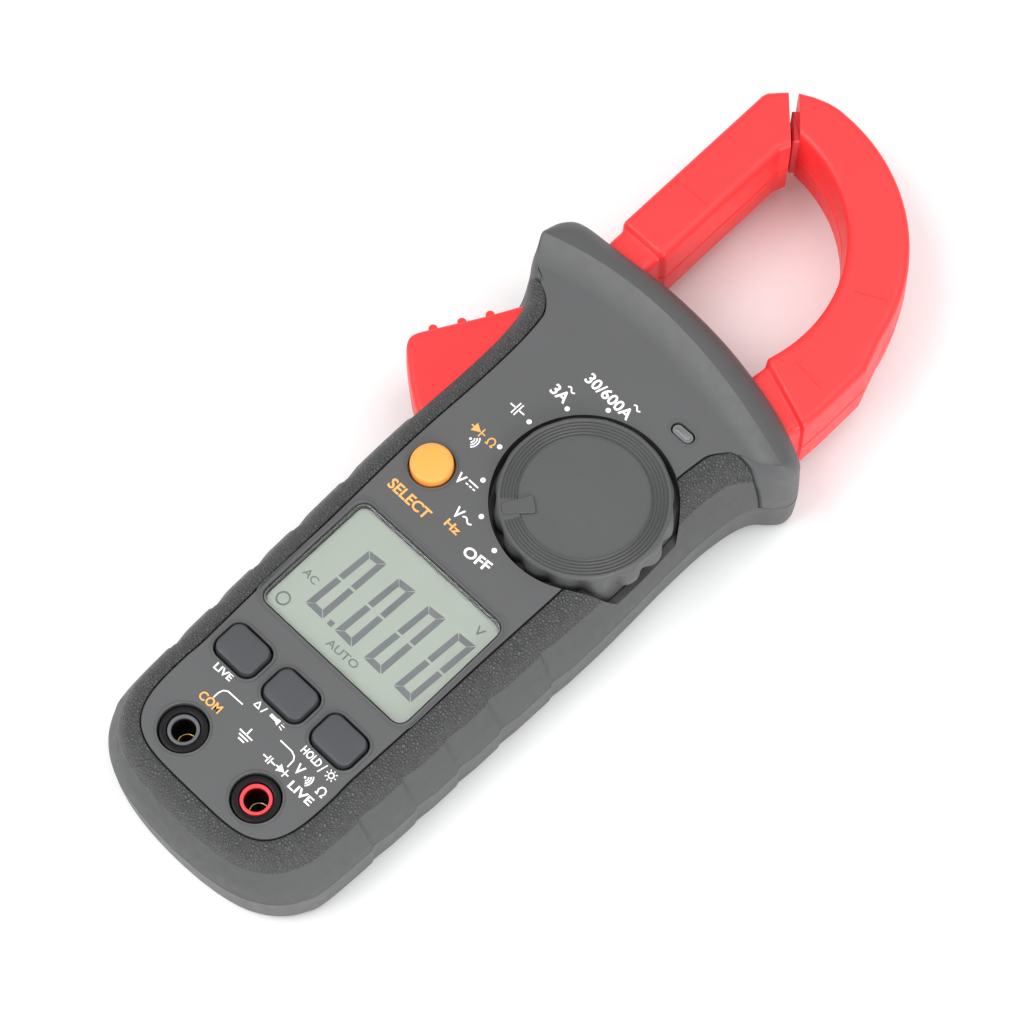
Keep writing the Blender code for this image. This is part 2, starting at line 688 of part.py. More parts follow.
def make_moving_jaw():
    limb = moving_limb_outline()
    lever = trigger_outline()
    front = jaw_shell("moving_jaw_front", limb, JAW_MID_Z + GAP / 2, JAW_TOP_Z, True)
    rear = jaw_shell("moving_jaw_rear", limb, JAW_LOW_Z, JAW_MID_Z - GAP / 2, False)
    lever_levels = (
        ("front", ((JAW_MID_Z + GAP / 2, 0.0), (TRIGGER_TOP_Z - 1.2, 0.3), (TRIGGER_TOP_Z, 1.4))),
        ("rear", ((TRIGGER_LOW_Z, 1.4), (TRIGGER_LOW_Z + 1.2, 0.3), (JAW_MID_Z - GAP / 2, 0.0))),
    )
    for (side, levels), shell in zip(lever_levels, (front, rear)):
        rings = [[(x, y, z) for x, y in inset_by(lever, inset)] for z, inset in levels]
        join(shell, loft("lever_" + side, rings, None, cutters))
    limb_room = [(-25.6, 66.0), (-17.3, 66.0), (-17.3, 116.4), (-24.0, 123.2), (-25.6, 121.6)]
    room = prism("cutter_limb_room", limb_room, JAW_LOW_Z + 2.0, JAW_TOP_Z - 2.0, None, cutters)
    inner = inset_by(lever, JAW_WALL)
    low_z = TRIGGER_LOW_Z + 2.0
    lever_room = prism("cutter_lever_room", inner, low_z, TRIGGER_TOP_Z - 2.0, None, cutters)
    cut(lever_room, box("cutter_lever_hub", (-40, 49.0, 0), (0, 70.0, 40), None, cutters))
    bore = cylinder(
        "cutter_pivot_bore", PIVOT, PIVOT_RADIUS + RUNNING_CLEARANCE, 0, 30, None, cutters, 32
    )
    spring_room = cylinder(
        "cutter_spring_room", PIVOT, SPRING_ROOM_RADIUS, 0, SPRING_ROOM_TOP, None, cutters, 24
    )
    cut(front, room, lever_room, bore)
    cut(rear, room, lever_room, bore, spring_room)
    cut(rear, box("cutter_spring_leg", (-27.0, 36.0, 0), (-20.0, 56.0, SPRING_ROOM_TOP), None, cutters))
    core_outline = [(-23.6, 67.0), (-19.3, 67.0), (-19.3, 118.2), (-22.2, 121.1), (-23.6, 121.1)]
    core = prism("moving_core", core_outline, CORE_LOW_Z, CORE_TOP_Z, "core_steel")
    coil = box("moving_coil", (-25.2, 80.0, COIL_LOW_Z), (-17.7, 106.0, COIL_TOP_Z), "copper_wire")
    cut(coil, box("cutter_moving_coil", (-23.9, 70, 9.3), (-19.0, 110, 18.2), None, cutters))
    for piece in (front, rear, core, coil):
        set_origin(piece, *PIVOT)


def make_pivot():
    """Pivot pin and the torsion spring that closes the jaws."""
    cylinder("pivot_pin", PIVOT, PIVOT_RADIUS, 1.9, 25.2, "steel", parts, 32)
    points = [(PIVOT[0] - SPRING_RADIUS, PIVOT[1] - 16.0, SPRING_LOW_Z)]
    for k in range(STEPS_A_TURN * SPRING_TURNS + 1):
        angle = math.pi + 2 * math.pi * k / STEPS_A_TURN
        height = SPRING_LOW_Z + SPRING_PITCH * k / STEPS_A_TURN
        points.append(
            (PIVOT[0] + SPRING_RADIUS * math.cos(angle), PIVOT[1] + SPRING_RADIUS * math.sin(angle), height)
        )
    points.append((PIVOT[0] - SPRING_RADIUS - 0.2, PIVOT[1] + 2.4, points[-1][2]))
    wire("jaw_spring", points, SPRING_WIRE_RADIUS, "steel")


# ---- Electronics -------------------------------------------------------------------
def make_board():
    """Main circuit board, stepped to leave room for the lever and holed for the jacks."""
    outline = [(-16.4, -67.6), (16.4, -67.6), (16.4, -59.0), (22.4, -54.0), (23.4, 39.0), (18.0, 46.4)]
    outline += [(-2.0, 46.4), (-2.0, 39.6), (-9.0, 39.6), (-9.0, 17.6), (-21.0, 17.6), (-23.4, 14.0)]
    outline += [(-22.4, -54.0), (-16.4, -59.0)]
    board = prism("main_board", outline, BOARD_LOW_Z, BOARD_TOP_Z, "board_green")
    for side in (-1, 1):
        spot = (side * JACK_X, JACK_Y)
        cut(board, cylinder("cutter_board_jack_" + str(side), spot, 5.2, 10, 20, None, cutters, 24))
        post = SCREWS["lower_left" if side < 0 else "lower_right"]
        tool_name = "cutter_board_post_" + str(side)
        cut(board, cylinder(tool_name, post, BOSS_RADIUS + GAP, 10, 20, None, cutters, 24))
    cut(board, cylinder("cutter_board_shaft", DIAL_POS, 4.4, 10, 20, None, cutters, 24))
    return board


def make_display():
    """Window, liquid-crystal cell, its frame, light guide and the two contact strips."""
    low = (-WINDOW_HALF_WIDTH + GAP, WINDOW_LOW_Y + GAP)
    high = (WINDOW_HALF_WIDTH - GAP, WINDOW_HIGH_Y - GAP)
    lens_outline = rounded_rectangle(low, high, 2.3)
    prism("lcd_window", lens_outline, 26.3, 27.3, "clear_plastic")
    frame_piece = box("lcd_frame", (-19.0, -31.0, 17.4), (19.0, -2.2, 25.1), "white_plastic")
    cut(frame_piece, box("cutter_lcd_frame", (-18.2, -29.6, 10), (18.2, -3.6, 30), None, cutters))
    box("lcd_glass", (-17.9, -29.3, 23.0), (17.9, -3.9, 25.0), "lcd_glass")
    box("lcd_backlight", (-17.9, -26.6, 20.6), (17.9, -6.6, 22.7), "white_plastic")
    for name, low_y in (("lower", -29.0), ("upper", -6.2)):
        box("contact_strip_" + name, (-17.4, low_y, 17.4), (17.4, low_y + 2.0, 22.7), "zebra_rubber")


def make_switch(name, spot):
    """Tactile switch with its plunger."""
    half = 3.0
    low = (spot[0] - half, spot[1] - half, BOARD_TOP_Z + GAP)
    high = (spot[0] + half, spot[1] + half, 20.6)
    switch = box(name, low, high, "black_plastic")
    return join(switch, cylinder("plunger_" + name, spot, 1.7, 19.0, 21.3, None, cutters, 16))


def make_key(name, spot):
    """Panel key: rounded cap, retaining flange under the panel, and a stem."""
    levels = ((25.2, 0.0), (KEY_TOP_Z - 0.7, 0.0), (KEY_TOP_Z - 0.2, 0.25), (KEY_TOP_Z, 0.8))
    low = (spot[0] - KEY_HALF[0], spot[1] - KEY_HALF[1])
    high = (spot[0] + KEY_HALF[0], spot[1] + KEY_HALF[1])
    outline = rounded_rectangle(low, high, 2.3)
    rings = [[(x, y, z) for x, y in inset_by(outline, inset)] for z, inset in levels]
    key = loft(name, rings, "key_rubber")
    flange_low = (low[0] - 0.5, low[1] - 0.8, 24.2)
    flange_high = (high[0] + 0.5, high[1] + 0.8, 25.2)
    join(key, box("flange_" + name, flange_low, flange_high, None, cutters))
    join(key, cylinder("stem_" + name, spot, 1.6, 22.4, 24.6, None, cutters, 16))
    set_origin(key, *spot)


def make_select_button():
    """Round button beside the dial."""
    profile = [(0, SELECT_TOP_Z), (3.6, SELECT_TOP_Z), (4.15, SELECT_TOP_Z - 0.3)]
    profile += [(SELECT_RADIUS, SELECT_TOP_Z - 1.0), (SELECT_RADIUS, 25.2), (5.0, 25.2)]
    profile += [(5.0, 24.2), (1.8, 24.2), (1.8, 22.9), (0, 22.9)]
    return turned("select_button", SELECT_POS, profile, "yellow_plastic", steps=24)


def make_jack(name, side, ring_slot):
    """Input jack: black shroud, coloured guide ring and brass contact tube."""
    spot = (side * JACK_X, JACK_Y)
    shroud = cylinder("jack_shroud_" + name, spot, SHROUD_RADIUS, 7.6, 27.1, "black_plastic", parts, 24)
    cut(shroud, cylinder("cutter_shroud_" + name, spot, SHROUD_BORE, 9.2, 30, None, cutters, 24))
    ring = cylinder("jack_ring_" + name, spot, GUIDE_RADIUS, 9.5, 26.8, ring_slot, parts, 20)
    cut(ring, cylinder("cutter_ring_" + name, spot, JACK_HOLE_RADIUS, 0, 30, None, cutters, 20))
    contact = cylinder("jack_contact_" + name, spot, CONTACT_RADIUS, 9.5, 24.0, "brass", parts, 16)
    cut(contact, cylinder("cutter_contact_" + name, spot, CONTACT_BORE, 10.6, 30, None, cutters, 16))


def make_dial():
    """Range dial: scalloped knob with a raised pointer, contact rotor and wipers."""
    count = SCALLOPS * 5

    def knob_ring(z, radius, depth):
        ring = []
        for i in range(count):
            angle = 2 * math.pi * i / count
            notch = depth * (0.5 + 0.5 * math.cos(SCALLOPS * angle)) ** 2
            reach = radius - notch
            x = DIAL_POS[0] + reach * math.cos(angle)
            ring.append((x, DIAL_POS[1] + reach * math.sin(angle), z))
        return ring

    knob = loft(
        "dial_knob",
        [
            knob_ring(DIAL_LOW_Z, DIAL_RIM_RADIUS, 1.3),
            knob_ring(27.0, DIAL_RIM_RADIUS, 1.2),
            knob_ring(29.0, 17.9, 0.4),
            knob_ring(DIAL_TOP_Z, DIAL_TOP_RADIUS, 0.0),
        ],
        "dial_plastic",
    )
    profile = [(15.4, 27.4), (15.4, 20.0), (6.5, 20.0), (6.5, 27.4)]
    cut(knob, turned("cutter_knob_pocket", DIAL_POS, profile, None, cutters, 32))
    join(knob, cylinder("knob_shaft", DIAL_POS, DIAL_SHAFT_RADIUS, 17.6, 24.0, None, cutters, 48))
    along = Vector((math.cos(POINTER_ANGLE), math.sin(POINTER_ANGLE)))
    across = Vector((-along.y, along.x))
    centre = Vector(DIAL_POS)
    corners = ((16.2, -1.5), (16.2, 1.5), (10.4, 2.1), (10.4, -2.1))
    pointer = [tuple(centre + along * r + across * w) for r, w in corners]
    join(knob, prism("knob_pointer", pointer, 29.0, DIAL_TOP_Z + 0.25, None, cutters))

    rotor_outline = []
    for i in range(64):
        angle = 2 * math.pi * i / 64
        radius = ROTOR_RADIUS - 0.5 * (i % 4 == 0)
        x = DIAL_POS[0] + radius * math.cos(angle)
        rotor_outline.append((x, DIAL_POS[1] + radius * math.sin(angle)))
    rotor = prism("dial_rotor", rotor_outline, 18.4, 21.3, "white_plastic")
    cut(rotor, cylinder("cutter_rotor", DIAL_POS, DIAL_SHAFT_RADIUS + GAP, 10, 30, None, cutters, 32))
    profile = [(10.8, 18.1), (10.8, 17.5), (7.4, 17.5), (7.4, 18.1)]
    turned("dial_wiper", DIAL_POS, profile, "brass", steps=24)
    for piece in (knob, rotor):
        set_origin(piece, *DIAL_POS)


def make_batteries():
    """Two cells, the end contacts, and the screwed battery door."""
    low_y = BATTERY_Y - BATTERY_LENGTH / 2
    high_y = BATTERY_Y + BATTERY_LENGTH / 2
    body_length = BATTERY_LENGTH - 1.0
    for name, side in (("left", -1), ("right", 1)):
        cell = cylinder(
            "battery_" + name, (0, 0), BATTERY_RADIUS, 0, body_length, "battery_label", parts, 24
        )
        nub = cylinder(
            "nub_" + name, (0, 0), 1.9, body_length - 0.5, BATTERY_LENGTH, None, cutters, 16
        )
        minus_y = low_y if side < 0 else high_y
        lay_down = Matrix.Rotation(math.radians(side * 90), 4, "X")
        place = Matrix.Translation((side * BATTERY_X * MM, minus_y * MM, BATTERY_Z * MM)) @ lay_down
        cell.data.transform(place)
        nub.data.transform(place)
        join(cell, nub)
        points = []
        for k in range(2 * STEPS_A_TURN + 1):
            angle = 2 * math.pi * k / STEPS_A_TURN
            share = k / (2 * STEPS_A_TURN)
            reach = BATTERY_SPRING_RADIUS * (1 + 0.5 * share)
            x = side * BATTERY_X + reach * math.cos(angle)
            y = minus_y + side * (0.5 + share)
            points.append((x, y, BATTERY_Z + reach * math.sin(angle)))
        wire("battery_spring_" + name, points, BATTERY_SPRING_WIRE, "steel")
    box("battery_contact_lower", (-10.6, -53.0, 3.4), (10.6, -52.4, 10.6), "steel")
    box("battery_contact_upper", (-10.6, -4.0, 3.4), (10.6, -3.3, 10.6), "steel")
    door_outline = rounded_rectangle((-DOOR_HALF_WIDTH, DOOR_LOW_Y), (DOOR_HALF_WIDTH, DOOR_HIGH_Y), 2.0)
    door = prism("battery_door", door_outline, BACK_Z, DOOR_THICKNESS, "case_plastic")
    tab_low = (-DOOR_TAB_HALF, DOOR_TAB_LOW_Y, BACK_Z)
    tab_high = (DOOR_TAB_HALF, DOOR_LOW_Y + 1.0, DOOR_THICKNESS)
    join(door, box("door_tab", tab_low, tab_high, None, cutters))
    cut(door, cylinder("cutter_door_head", DOOR_SCREW, 2.5, -1.0, 1.0, None, cutters, 16))
    cut(door, cylinder("cutter_door_shank", DOOR_SCREW, 1.4, -1.0, 3.0, None, cutters, 12))
    profile = [(0, 9.0), (1.1, 8.4), (1.1, 0.95), (2.2, 0.95), (2.2, 0.2), (0, 0.2)]
    screw = turned("battery_door_screw", DOOR_SCREW, profile, "steel", steps=12)
    slot_low = (DOOR_SCREW[0] - 1.4, DOOR_SCREW[1] - 0.3, -1.0)
    slot_high = (DOOR_SCREW[0] + 1.4, DOOR_SCREW[1] + 0.3, 0.55)
    cut(screw, box("cutter_door_slot", slot_low, slot_high, None, cutters))


def make_fasteners():
    """Case screws, seated in the rear case and running up into the front bosses."""
    for name, spot in SCREWS.items():
        profile = [(0, 22.0), (SCREW_RADIUS, 21.0), (SCREW_RADIUS, 3.3), (SCREW_HEAD_RADIUS, 3.3)]
        profile += [(SCREW_HEAD_RADIUS, 1.4), (0, 1.4)]
        screw = turned("case_screw_" + name, spot, profile, "steel", steps=12)
        slot_low = (spot[0] - 1.6, spot[1] - 0.35, 0.0)
        slot_high = (spot[0] + 1.6, spot[1] + 0.35, 2.1)
        cut(screw, box("cutter_slot_" + name, slot_low, slot_high, None, cutters))


def make_small_parts():
    cylinder("buzzer", (8.0, 12.0), 5.0, 9.8, BOARD_LOW_Z - GAP, "black_plastic", parts, 24)
    prism("indicator_lens", indicator_outline(0.0), 25.8, 27.5, "clear_plastic")
    box("indicator_led", (14.4, 51.2, 23.9), (17.0, 52.8, 25.4), "white_plastic")
    torch = cylinder("torch_led", (0, 0), 2.4, 67.0, 74.0, "clear_plastic", parts, 20)
    turn = Matrix.Rotation(math.radians(-90), 4, "X")
    torch.data.transform(Matrix.Translation((TORCH_X * MM, 0, TORCH_Z * MM)) @ turn)
    box("detent_spring", (-2.9, 20.0, 17.4), (-2.4, 35.2, 21.0), "steel")
    ball = bmesh.new()
    bmesh.ops.create_uvsphere(ball, u_segments=12, v_segments=8, radius=0.9)
    bmesh.ops.translate(ball, vec=(-1.2, DIAL_POS[1], 19.8), verts=ball.verts)
    finish_object("detent_ball", ball, "steel", parts)


# ---- Assembly ----------------------------------------------------------------------
def build():
    tools = make_case_cutters()
    make_front_case(tools)
    make_grip(tools)
    make_rear_case(tools)
    make_fixed_jaw()
    make_moving_jaw()
    make_pivot()
    make_board()
    make_display()
    for name, k in (("left", -1), ("middle", 0), ("right", 1)):
        spot = (k * KEY_PITCH, KEY_Y)
        make_key("key_" + name, spot)
        make_switch("key_switch_" + name, spot)
    make_select_button()
    make_switch("select_switch", SELECT_POS)
    make_jack("common", -1, "ring_grey")
    make_jack("signal", 1, "ring_red")
    make_dial()
    make_batteries()
    make_fasteners()
    make_small_parts()


build()
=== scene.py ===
"""Looks of the clamp meter: its fine surfaces, markings and materials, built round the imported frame.

Lengths are in millimetres in the frame's axes and are scaled to metres when a mesh is made.
"""
import math

import bmesh
import bpy
import numpy as np
from mathutils import Matrix, Vector


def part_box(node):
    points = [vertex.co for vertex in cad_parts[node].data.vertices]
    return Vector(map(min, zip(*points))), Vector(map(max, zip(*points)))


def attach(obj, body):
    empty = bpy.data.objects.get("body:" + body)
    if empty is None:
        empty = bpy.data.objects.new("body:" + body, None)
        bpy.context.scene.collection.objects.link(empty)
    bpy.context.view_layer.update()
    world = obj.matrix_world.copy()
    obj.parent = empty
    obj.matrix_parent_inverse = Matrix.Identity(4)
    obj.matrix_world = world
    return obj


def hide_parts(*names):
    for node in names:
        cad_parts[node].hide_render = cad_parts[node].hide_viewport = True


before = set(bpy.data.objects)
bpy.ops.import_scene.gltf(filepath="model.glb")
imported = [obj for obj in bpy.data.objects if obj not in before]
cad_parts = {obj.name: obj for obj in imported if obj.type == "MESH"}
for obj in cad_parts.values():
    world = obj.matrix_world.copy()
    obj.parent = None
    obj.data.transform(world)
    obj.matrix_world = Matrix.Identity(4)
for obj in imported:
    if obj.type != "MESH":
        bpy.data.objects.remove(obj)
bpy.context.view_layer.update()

MM = 0.001

# ---- Sizes that repeat the frame ---------------------------------------------------
PANEL_Z = 27.5
PARTING_Z = 11.5
RIM_Z = 20.9
JAW_LOW_Z = 4.5
JAW_MID_Z = 13.75
JAW_TOP_Z = 23.0
# Heights over which painted shade darkens the bore of a jack ring to near black
RING_BORE_SHADE_Z = (25.9, 26.3)
GAP = 0.3


def middle_of(node):
    """Centre of a node in plan, in millimetres."""
    low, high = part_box(node)
    return ((low.x + high.x) / 2 / MM, (low.y + high.y) / 2 / MM)


DIAL = middle_of("dial_wiper")
SELECT = middle_of("select_button")
JACKS = {"common": middle_of("jack_ring_common"), "signal": middle_of("jack_ring_signal")}
KEYS = {side: middle_of("key_" + side) for side in ("left", "middle", "right")}
DIAL_WELL_RADIUS = 18.96
DIAL_FLOOR_Z = 22.5
POINTER_ANGLE = math.radians(233.1)


# ---- Node materials ----------------------------------------------------------------
class Look:
    """Small builder for a procedural Principled material."""

    def __init__(self, name, colour, roughness, metallic=0.0):
        self.material = bpy.data.materials.new(name)
        self.material.use_nodes = True
        self.tree = self.material.node_tree
        self.shader = self.tree.nodes["Principled BSDF"]
        self.shader.inputs["Base Color"].default_value = (*colour, 1.0)
        self.shader.inputs["Roughness"].default_value = roughness
        self.shader.inputs["Metallic"].default_value = metallic
        self.colour = colour
        self.roughness = roughness
        self.place = self.tree.nodes.new("ShaderNodeTexCoord").outputs["Object"]
        self.height = None

    def node(self, kind, **settings):
        made = self.tree.nodes.new(kind)
        for key, value in settings.items():
            if key in made.inputs:
                made.inputs[key].default_value = value
            else:
                setattr(made, key, value)
        return made

    def link(self, source, target):
        self.tree.links.new(source, target)

    def noise(self, scale, detail=3.0, roughness=0.5):
        made = self.node("ShaderNodeTexNoise", Scale=scale, Detail=detail, Roughness=roughness)
        self.link(self.place, made.inputs["Vector"])
        return made.outputs["Fac"]

    def cells(self, scale, feature="F1", randomness=1.0):
        made = self.node("ShaderNodeTexVoronoi", feature=feature, Scale=scale, Randomness=randomness)
        self.link(self.place, made.inputs["Vector"])
        return made.outputs["Distance"]

    def spread(self, source, low, high, start=0.3, stop=0.7):
        """Map a texture value to a range."""
        made = self.node("ShaderNodeMapRange")
        for key, value in (("From Min", start), ("From Max", stop), ("To Min", low), ("To Max", high)):
            made.inputs[key].default_value = value
        self.link(source, made.inputs["Value"])
        return made.outputs["Result"]

    def math(self, operation, first, second):
        made = self.node("ShaderNodeMath", operation=operation)
        for socket, value in zip(made.inputs, (first, second)):
            if isinstance(value, (int, float)):
                socket.default_value = value
            else:
                self.link(value, socket)
        return made.outputs["Value"]

    def axis(self, name):
        made = self.node("ShaderNodeSeparateXYZ")
        self.link(self.place, made.inputs["Vector"])
        return made.outputs[name]

    def tint(self, source, dark, light):
        """Vary the base colour between two brightness factors."""
        made = self.node("ShaderNodeMix", data_type="RGBA")
        made.inputs[6].default_value = (*[c * dark for c in self.colour], 1.0)
        made.inputs[7].default_value = (*[min(c * light, 1.0) for c in self.colour], 1.0)
        self.link(source, made.inputs[0])
        self.link(made.outputs[2], self.shader.inputs["Base Color"])

    def vary_roughness(self, source, low, high):
        self.link(self.spread(source, low, high), self.shader.inputs["Roughness"])

    def bump(self, source, strength, distance_mm):
        made = self.node("ShaderNodeBump", Strength=strength, Distance=distance_mm * MM)
        self.link(source, made.inputs["Height"])
        if self.height is not None:
            self.link(self.height, made.inputs["Normal"])
        self.height = made.outputs["Normal"]
        self.link(self.height, self.shader.inputs["Normal"])

    def set(self, **values):
        for key, value in values.items():
            self.shader.inputs[key.replace("_", " ")].default_value = value


def moulded(name, colour, roughness, grain, depth, tint=0.05):
    """Moulded plastic with a fine spark texture, soft tone changes and uneven gloss."""
    look = Look(name, colour, roughness)
    look.tint(look.noise(90.0), 1.0 - tint, 1.0 + tint)
    look.vary_roughness(look.noise(420.0), roughness - 0.04, roughness + 0.05)
    look.bump(look.noise(grain, 2.0), 0.6, depth)
    return look


def guide_ring(name, colour):
    """Coloured rim of an input jack, with painted shade that darkens its bore below the rim."""
    look = moulded(name, colour, 0.38, 4000.0, 0.006)
    # Painted shade: the ring's colour falls to near black below the rim, down the bore.
    shaded_z, lit_z = RING_BORE_SHADE_Z
    look.tint(look.spread(look.axis("Z"), 0.0, 1.0, shaded_z * MM, lit_z * MM), 0.03, 1.0)
    look.set(Specular_IOR_Level=0.25)
    return look.material


def metal(name, colour, roughness, scratch):
    """Plated metal with fine drawn lines."""
    look = Look(name, colour, roughness, 1.0)
    stretch = look.node("ShaderNodeMapping")
    stretch.inputs["Scale"].default_value = scratch
    look.link(look.place, stretch.inputs["Vector"])
    lines = look.node("ShaderNodeTexNoise", Scale=4.0, Detail=4.0)
    look.link(stretch.outputs["Vector"], lines.inputs["Vector"])
    look.tint(lines.outputs["Fac"], 0.88, 1.08)
    look.vary_roughness(lines.outputs["Fac"], roughness - 0.06, roughness + 0.12)
    look.bump(lines.outputs["Fac"], 0.15, 0.01)
    return look


def leather_grip():
    """Grip rubber: leather grain on the shoulder band, smooth on the side walls."""
    look = Look("grip_rubber_look", (0.068, 0.069, 0.070), 0.60)
    pebble = look.cells(1500.0, "F1")
    crease = look.spread(look.cells(1500.0, "DISTANCE_TO_EDGE"), 0.0, 1.0, 0.02, 0.30)
    soft = look.noise(700.0, 4.0)
    fine = look.noise(5200.0, 2.0)
    grain = look.math("ADD", look.math("MULTIPLY", crease, 0.8), look.math("MULTIPLY", soft, 0.9))
    grain = look.math("SUBTRACT", grain, look.math("MULTIPLY", pebble, 0.3))
    band = look.spread(look.axis("Z"), 0.0, 1.0, (RIM_Z + 0.2) * MM, (RIM_Z + 0.9) * MM)
    below = look.math("SUBTRACT", 1.0, band)
    smooth_part = look.math("MULTIPLY", look.math("MULTIPLY", fine, 0.12), below)
    height = look.math("ADD", look.math("MULTIPLY", grain, band), smooth_part)
    # The band's colour follows the grain's height: painted shade darkens the creases between the
    # pebbles, with random tone from the broader noise.
    grain_tone_and_crease_shade = look.math("MULTIPLY", look.spread(grain, 0.0, 1.0, 0.3, 1.5), band)
    wall = look.math("MULTIPLY", below, 0.42)
    look.tint(look.math("ADD", grain_tone_and_crease_shade, wall), 0.62, 1.28)
    look.vary_roughness(look.noise(500.0), 0.50, 0.62)
    look.bump(height, 1.0, 0.36)
    return look.material


# Name: colour, roughness, grain scale, grain depth in mm, tint
MOULDED = {
    "case_plastic": ((0.078, 0.079, 0.081), 0.48, 3000.0, 0.035, 0.05),
    "rear_plastic": ((0.066, 0.067, 0.066), 0.46, 2800.0, 0.03, 0.05),
    "jaw_plastic": ((0.86, 0.036, 0.038), 0.40, 3800.0, 0.006, 0.02),
    "tongue": ((0.62, 0.035, 0.045), 0.45, 3000.0, 0.01, 0.04),
    "dial_plastic": ((0.066, 0.067, 0.068), 0.50, 2300.0, 0.09, 0.08),
    "key_rubber": ((0.045, 0.047, 0.052), 0.52, 3400.0, 0.02, 0.05),
    "yellow_plastic": ((0.96, 0.345, 0.060), 0.40, 3600.0, 0.006, 0.02),
    "black_plastic": ((0.005, 0.005, 0.006), 0.42, 4000.0, 0.008, 0.06),
    "white_plastic": ((0.78, 0.78, 0.75), 0.42, 3000.0, 0.006, 0.05),
    "print_white": ((0.90, 0.90, 0.89), 0.5, 7000.0, 0.004, 0.03),
    "print_orange": ((0.86, 0.40, 0.10), 0.5, 7000.0, 0.004, 0.03),
    "board_green": ((0.035, 0.20, 0.075), 0.40, 900.0, 0.02, 0.15),
    "zebra_rubber": ((0.12, 0.12, 0.13), 0.62, 2500.0, 0.01, 0.05),
    "battery_label": ((0.10, 0.13, 0.34), 0.34, 1500.0, 0.006, 0.12),
}
# Name: colour, roughness, stretch of the drawn lines
METALS = {
    "brass": ((0.76, 0.55, 0.22), 0.28, (900.0, 60.0, 900.0)),
    "steel": ((0.62, 0.62, 0.64), 0.28, (900.0, 60.0, 900.0)),
    "core_steel": ((0.34, 0.34, 0.36), 0.42, (60.0, 60.0, 2400.0)),
    "copper_wire": ((0.72, 0.30, 0.12), 0.32, (60.0, 2600.0, 60.0)),
}


def clear_plastic():
    look = Look("clear_plastic_look", (0.97, 0.985, 0.975), 0.03)
    look.set(Transmission_Weight=1.0, IOR=1.49)
    look.vary_roughness(look.noise(60.0), 0.015, 0.045)
    look.bump(look.noise(90.0, 1.0), 0.05, 0.01)
    return look.material


def indicator_lens():
    look = Look("indicator_look", (0.16, 0.17, 0.17), 0.2)
    look.tint(look.noise(200.0), 0.95, 1.03)
    look.vary_roughness(look.noise(900.0), 0.16, 0.26)
    look.bump(look.noise(1500.0), 0.1, 0.01)
    return look.material


def display_cell():
    look = Look("display_cell_look", (0.575, 0.63, 0.555), 0.42)
    look.tint(look.noise(45.0, 2.0), 0.97, 1.03)
    look.vary_roughness(look.noise(3000.0), 0.36, 0.48)
    look.bump(look.noise(6000.0), 0.2, 0.006)
    return look.material


def display_ink():
    look = Look("display_ink_look", (0.225, 0.235, 0.25), 0.35)
    look.tint(look.noise(300.0), 0.94, 1.06)
    look.vary_roughness(look.noise(2000.0), 0.3, 0.4)
    return look.material


def make_looks():
    """Every material of the meter by its slot, or by its piece where it has no slot of its own."""
    made = {name: moulded(name + "_look", *values) for name, values in MOULDED.items()}
    made["jaw_plastic"].set(Specular_IOR_Level=0.4)
    made["black_plastic"].set(Specular_IOR_Level=0.18)
    board = made["board_green"]
    board.tint(board.spread(board.cells(420.0, "F1", 0.35), 0.0, 1.0, 0.42, 0.46), 0.75, 1.35)
    zebra = made["zebra_rubber"]
    bands = zebra.node("ShaderNodeTexWave", Scale=2600.0)
    zebra.link(zebra.place, bands.inputs["Vector"])
    zebra.tint(bands.outputs["Fac"], 0.35, 1.9)
    for name, values in METALS.items():
        made[name] = metal(name + "_look", *values)
    looks = {name: look.material for name, look in made.items()}
    looks["grip_rubber"] = leather_grip()
    looks["ring_grey"] = guide_ring("ring_grey_look", (0.11, 0.115, 0.12))
    looks["ring_red"] = guide_ring("ring_red_look", (0.84, 0.060, 0.070))
    looks["clear_plastic"] = clear_plastic()
    looks["indicator"] = indicator_lens()
    looks["lcd_glass"] = display_cell()
    looks["display_ink"] = display_ink()
    return looks


LOOKS = make_looks()


# ---- Mesh helpers ------------------------------------------------------------------
def make_object(name, vertices, faces, look=None, smooth_angle=32.0):
    """A mesh object from points in millimetres."""
    mesh = bpy.data.meshes.new(name)
    mesh.from_pydata([(x * MM, y * MM, z * MM) for x, y, z in vertices], [], faces)
    mesh.update()
    builder = bmesh.new()
    builder.from_mesh(mesh)
    bmesh.ops.recalc_face_normals(builder, faces=builder.faces)
    builder.to_mesh(mesh)
    builder.free()
    made = bpy.data.objects.new(name, mesh)
    bpy.context.scene.collection.objects.link(made)
    if look:
        mesh.materials.append(LOOKS[look])
    smooth(made, smooth_angle)
    return made


def smooth(made, angle):
    made.data.shade_smooth()
    made.data.set_sharp_from_angle(angle=math.radians(angle))


def skin(rings, closed=True):
    """Quads between rings of equal point counts, with the first and last ring capped when closed."""
    count = len(rings[0])
    vertices = [tuple(point) for ring in rings for point in ring]
    faces = []
    for k in range(len(rings) - 1):
        low, high = k * count, (k + 1) * count
        for i in range(count):
            j = (i + 1) % count
            faces.append((low + i, low + j, high + j, high + i))
    if closed:
        faces.append(tuple(range(count - 1, -1, -1)))
        last = (len(rings) - 1) * count
        faces.append(tuple(range(last, last + count)))
    return vertices, faces


def loft(name, rings, look=None, smooth_angle=32.0):
    return make_object(name, *skin(rings), look, smooth_angle)


def level(outline, z):
    return [(x, y, z) for x, y in outline]


def prism(name, outline, low_z, high_z, look=None):
    return loft(name, [level(outline, low_z), level(outline, high_z)], look)


def stepped(name, outline, steps, look=None):
    """A solid whose outline moves in at each (inset, z) step."""
    return loft(name, [level(inset(outline, move), z) for move, z in steps], look)


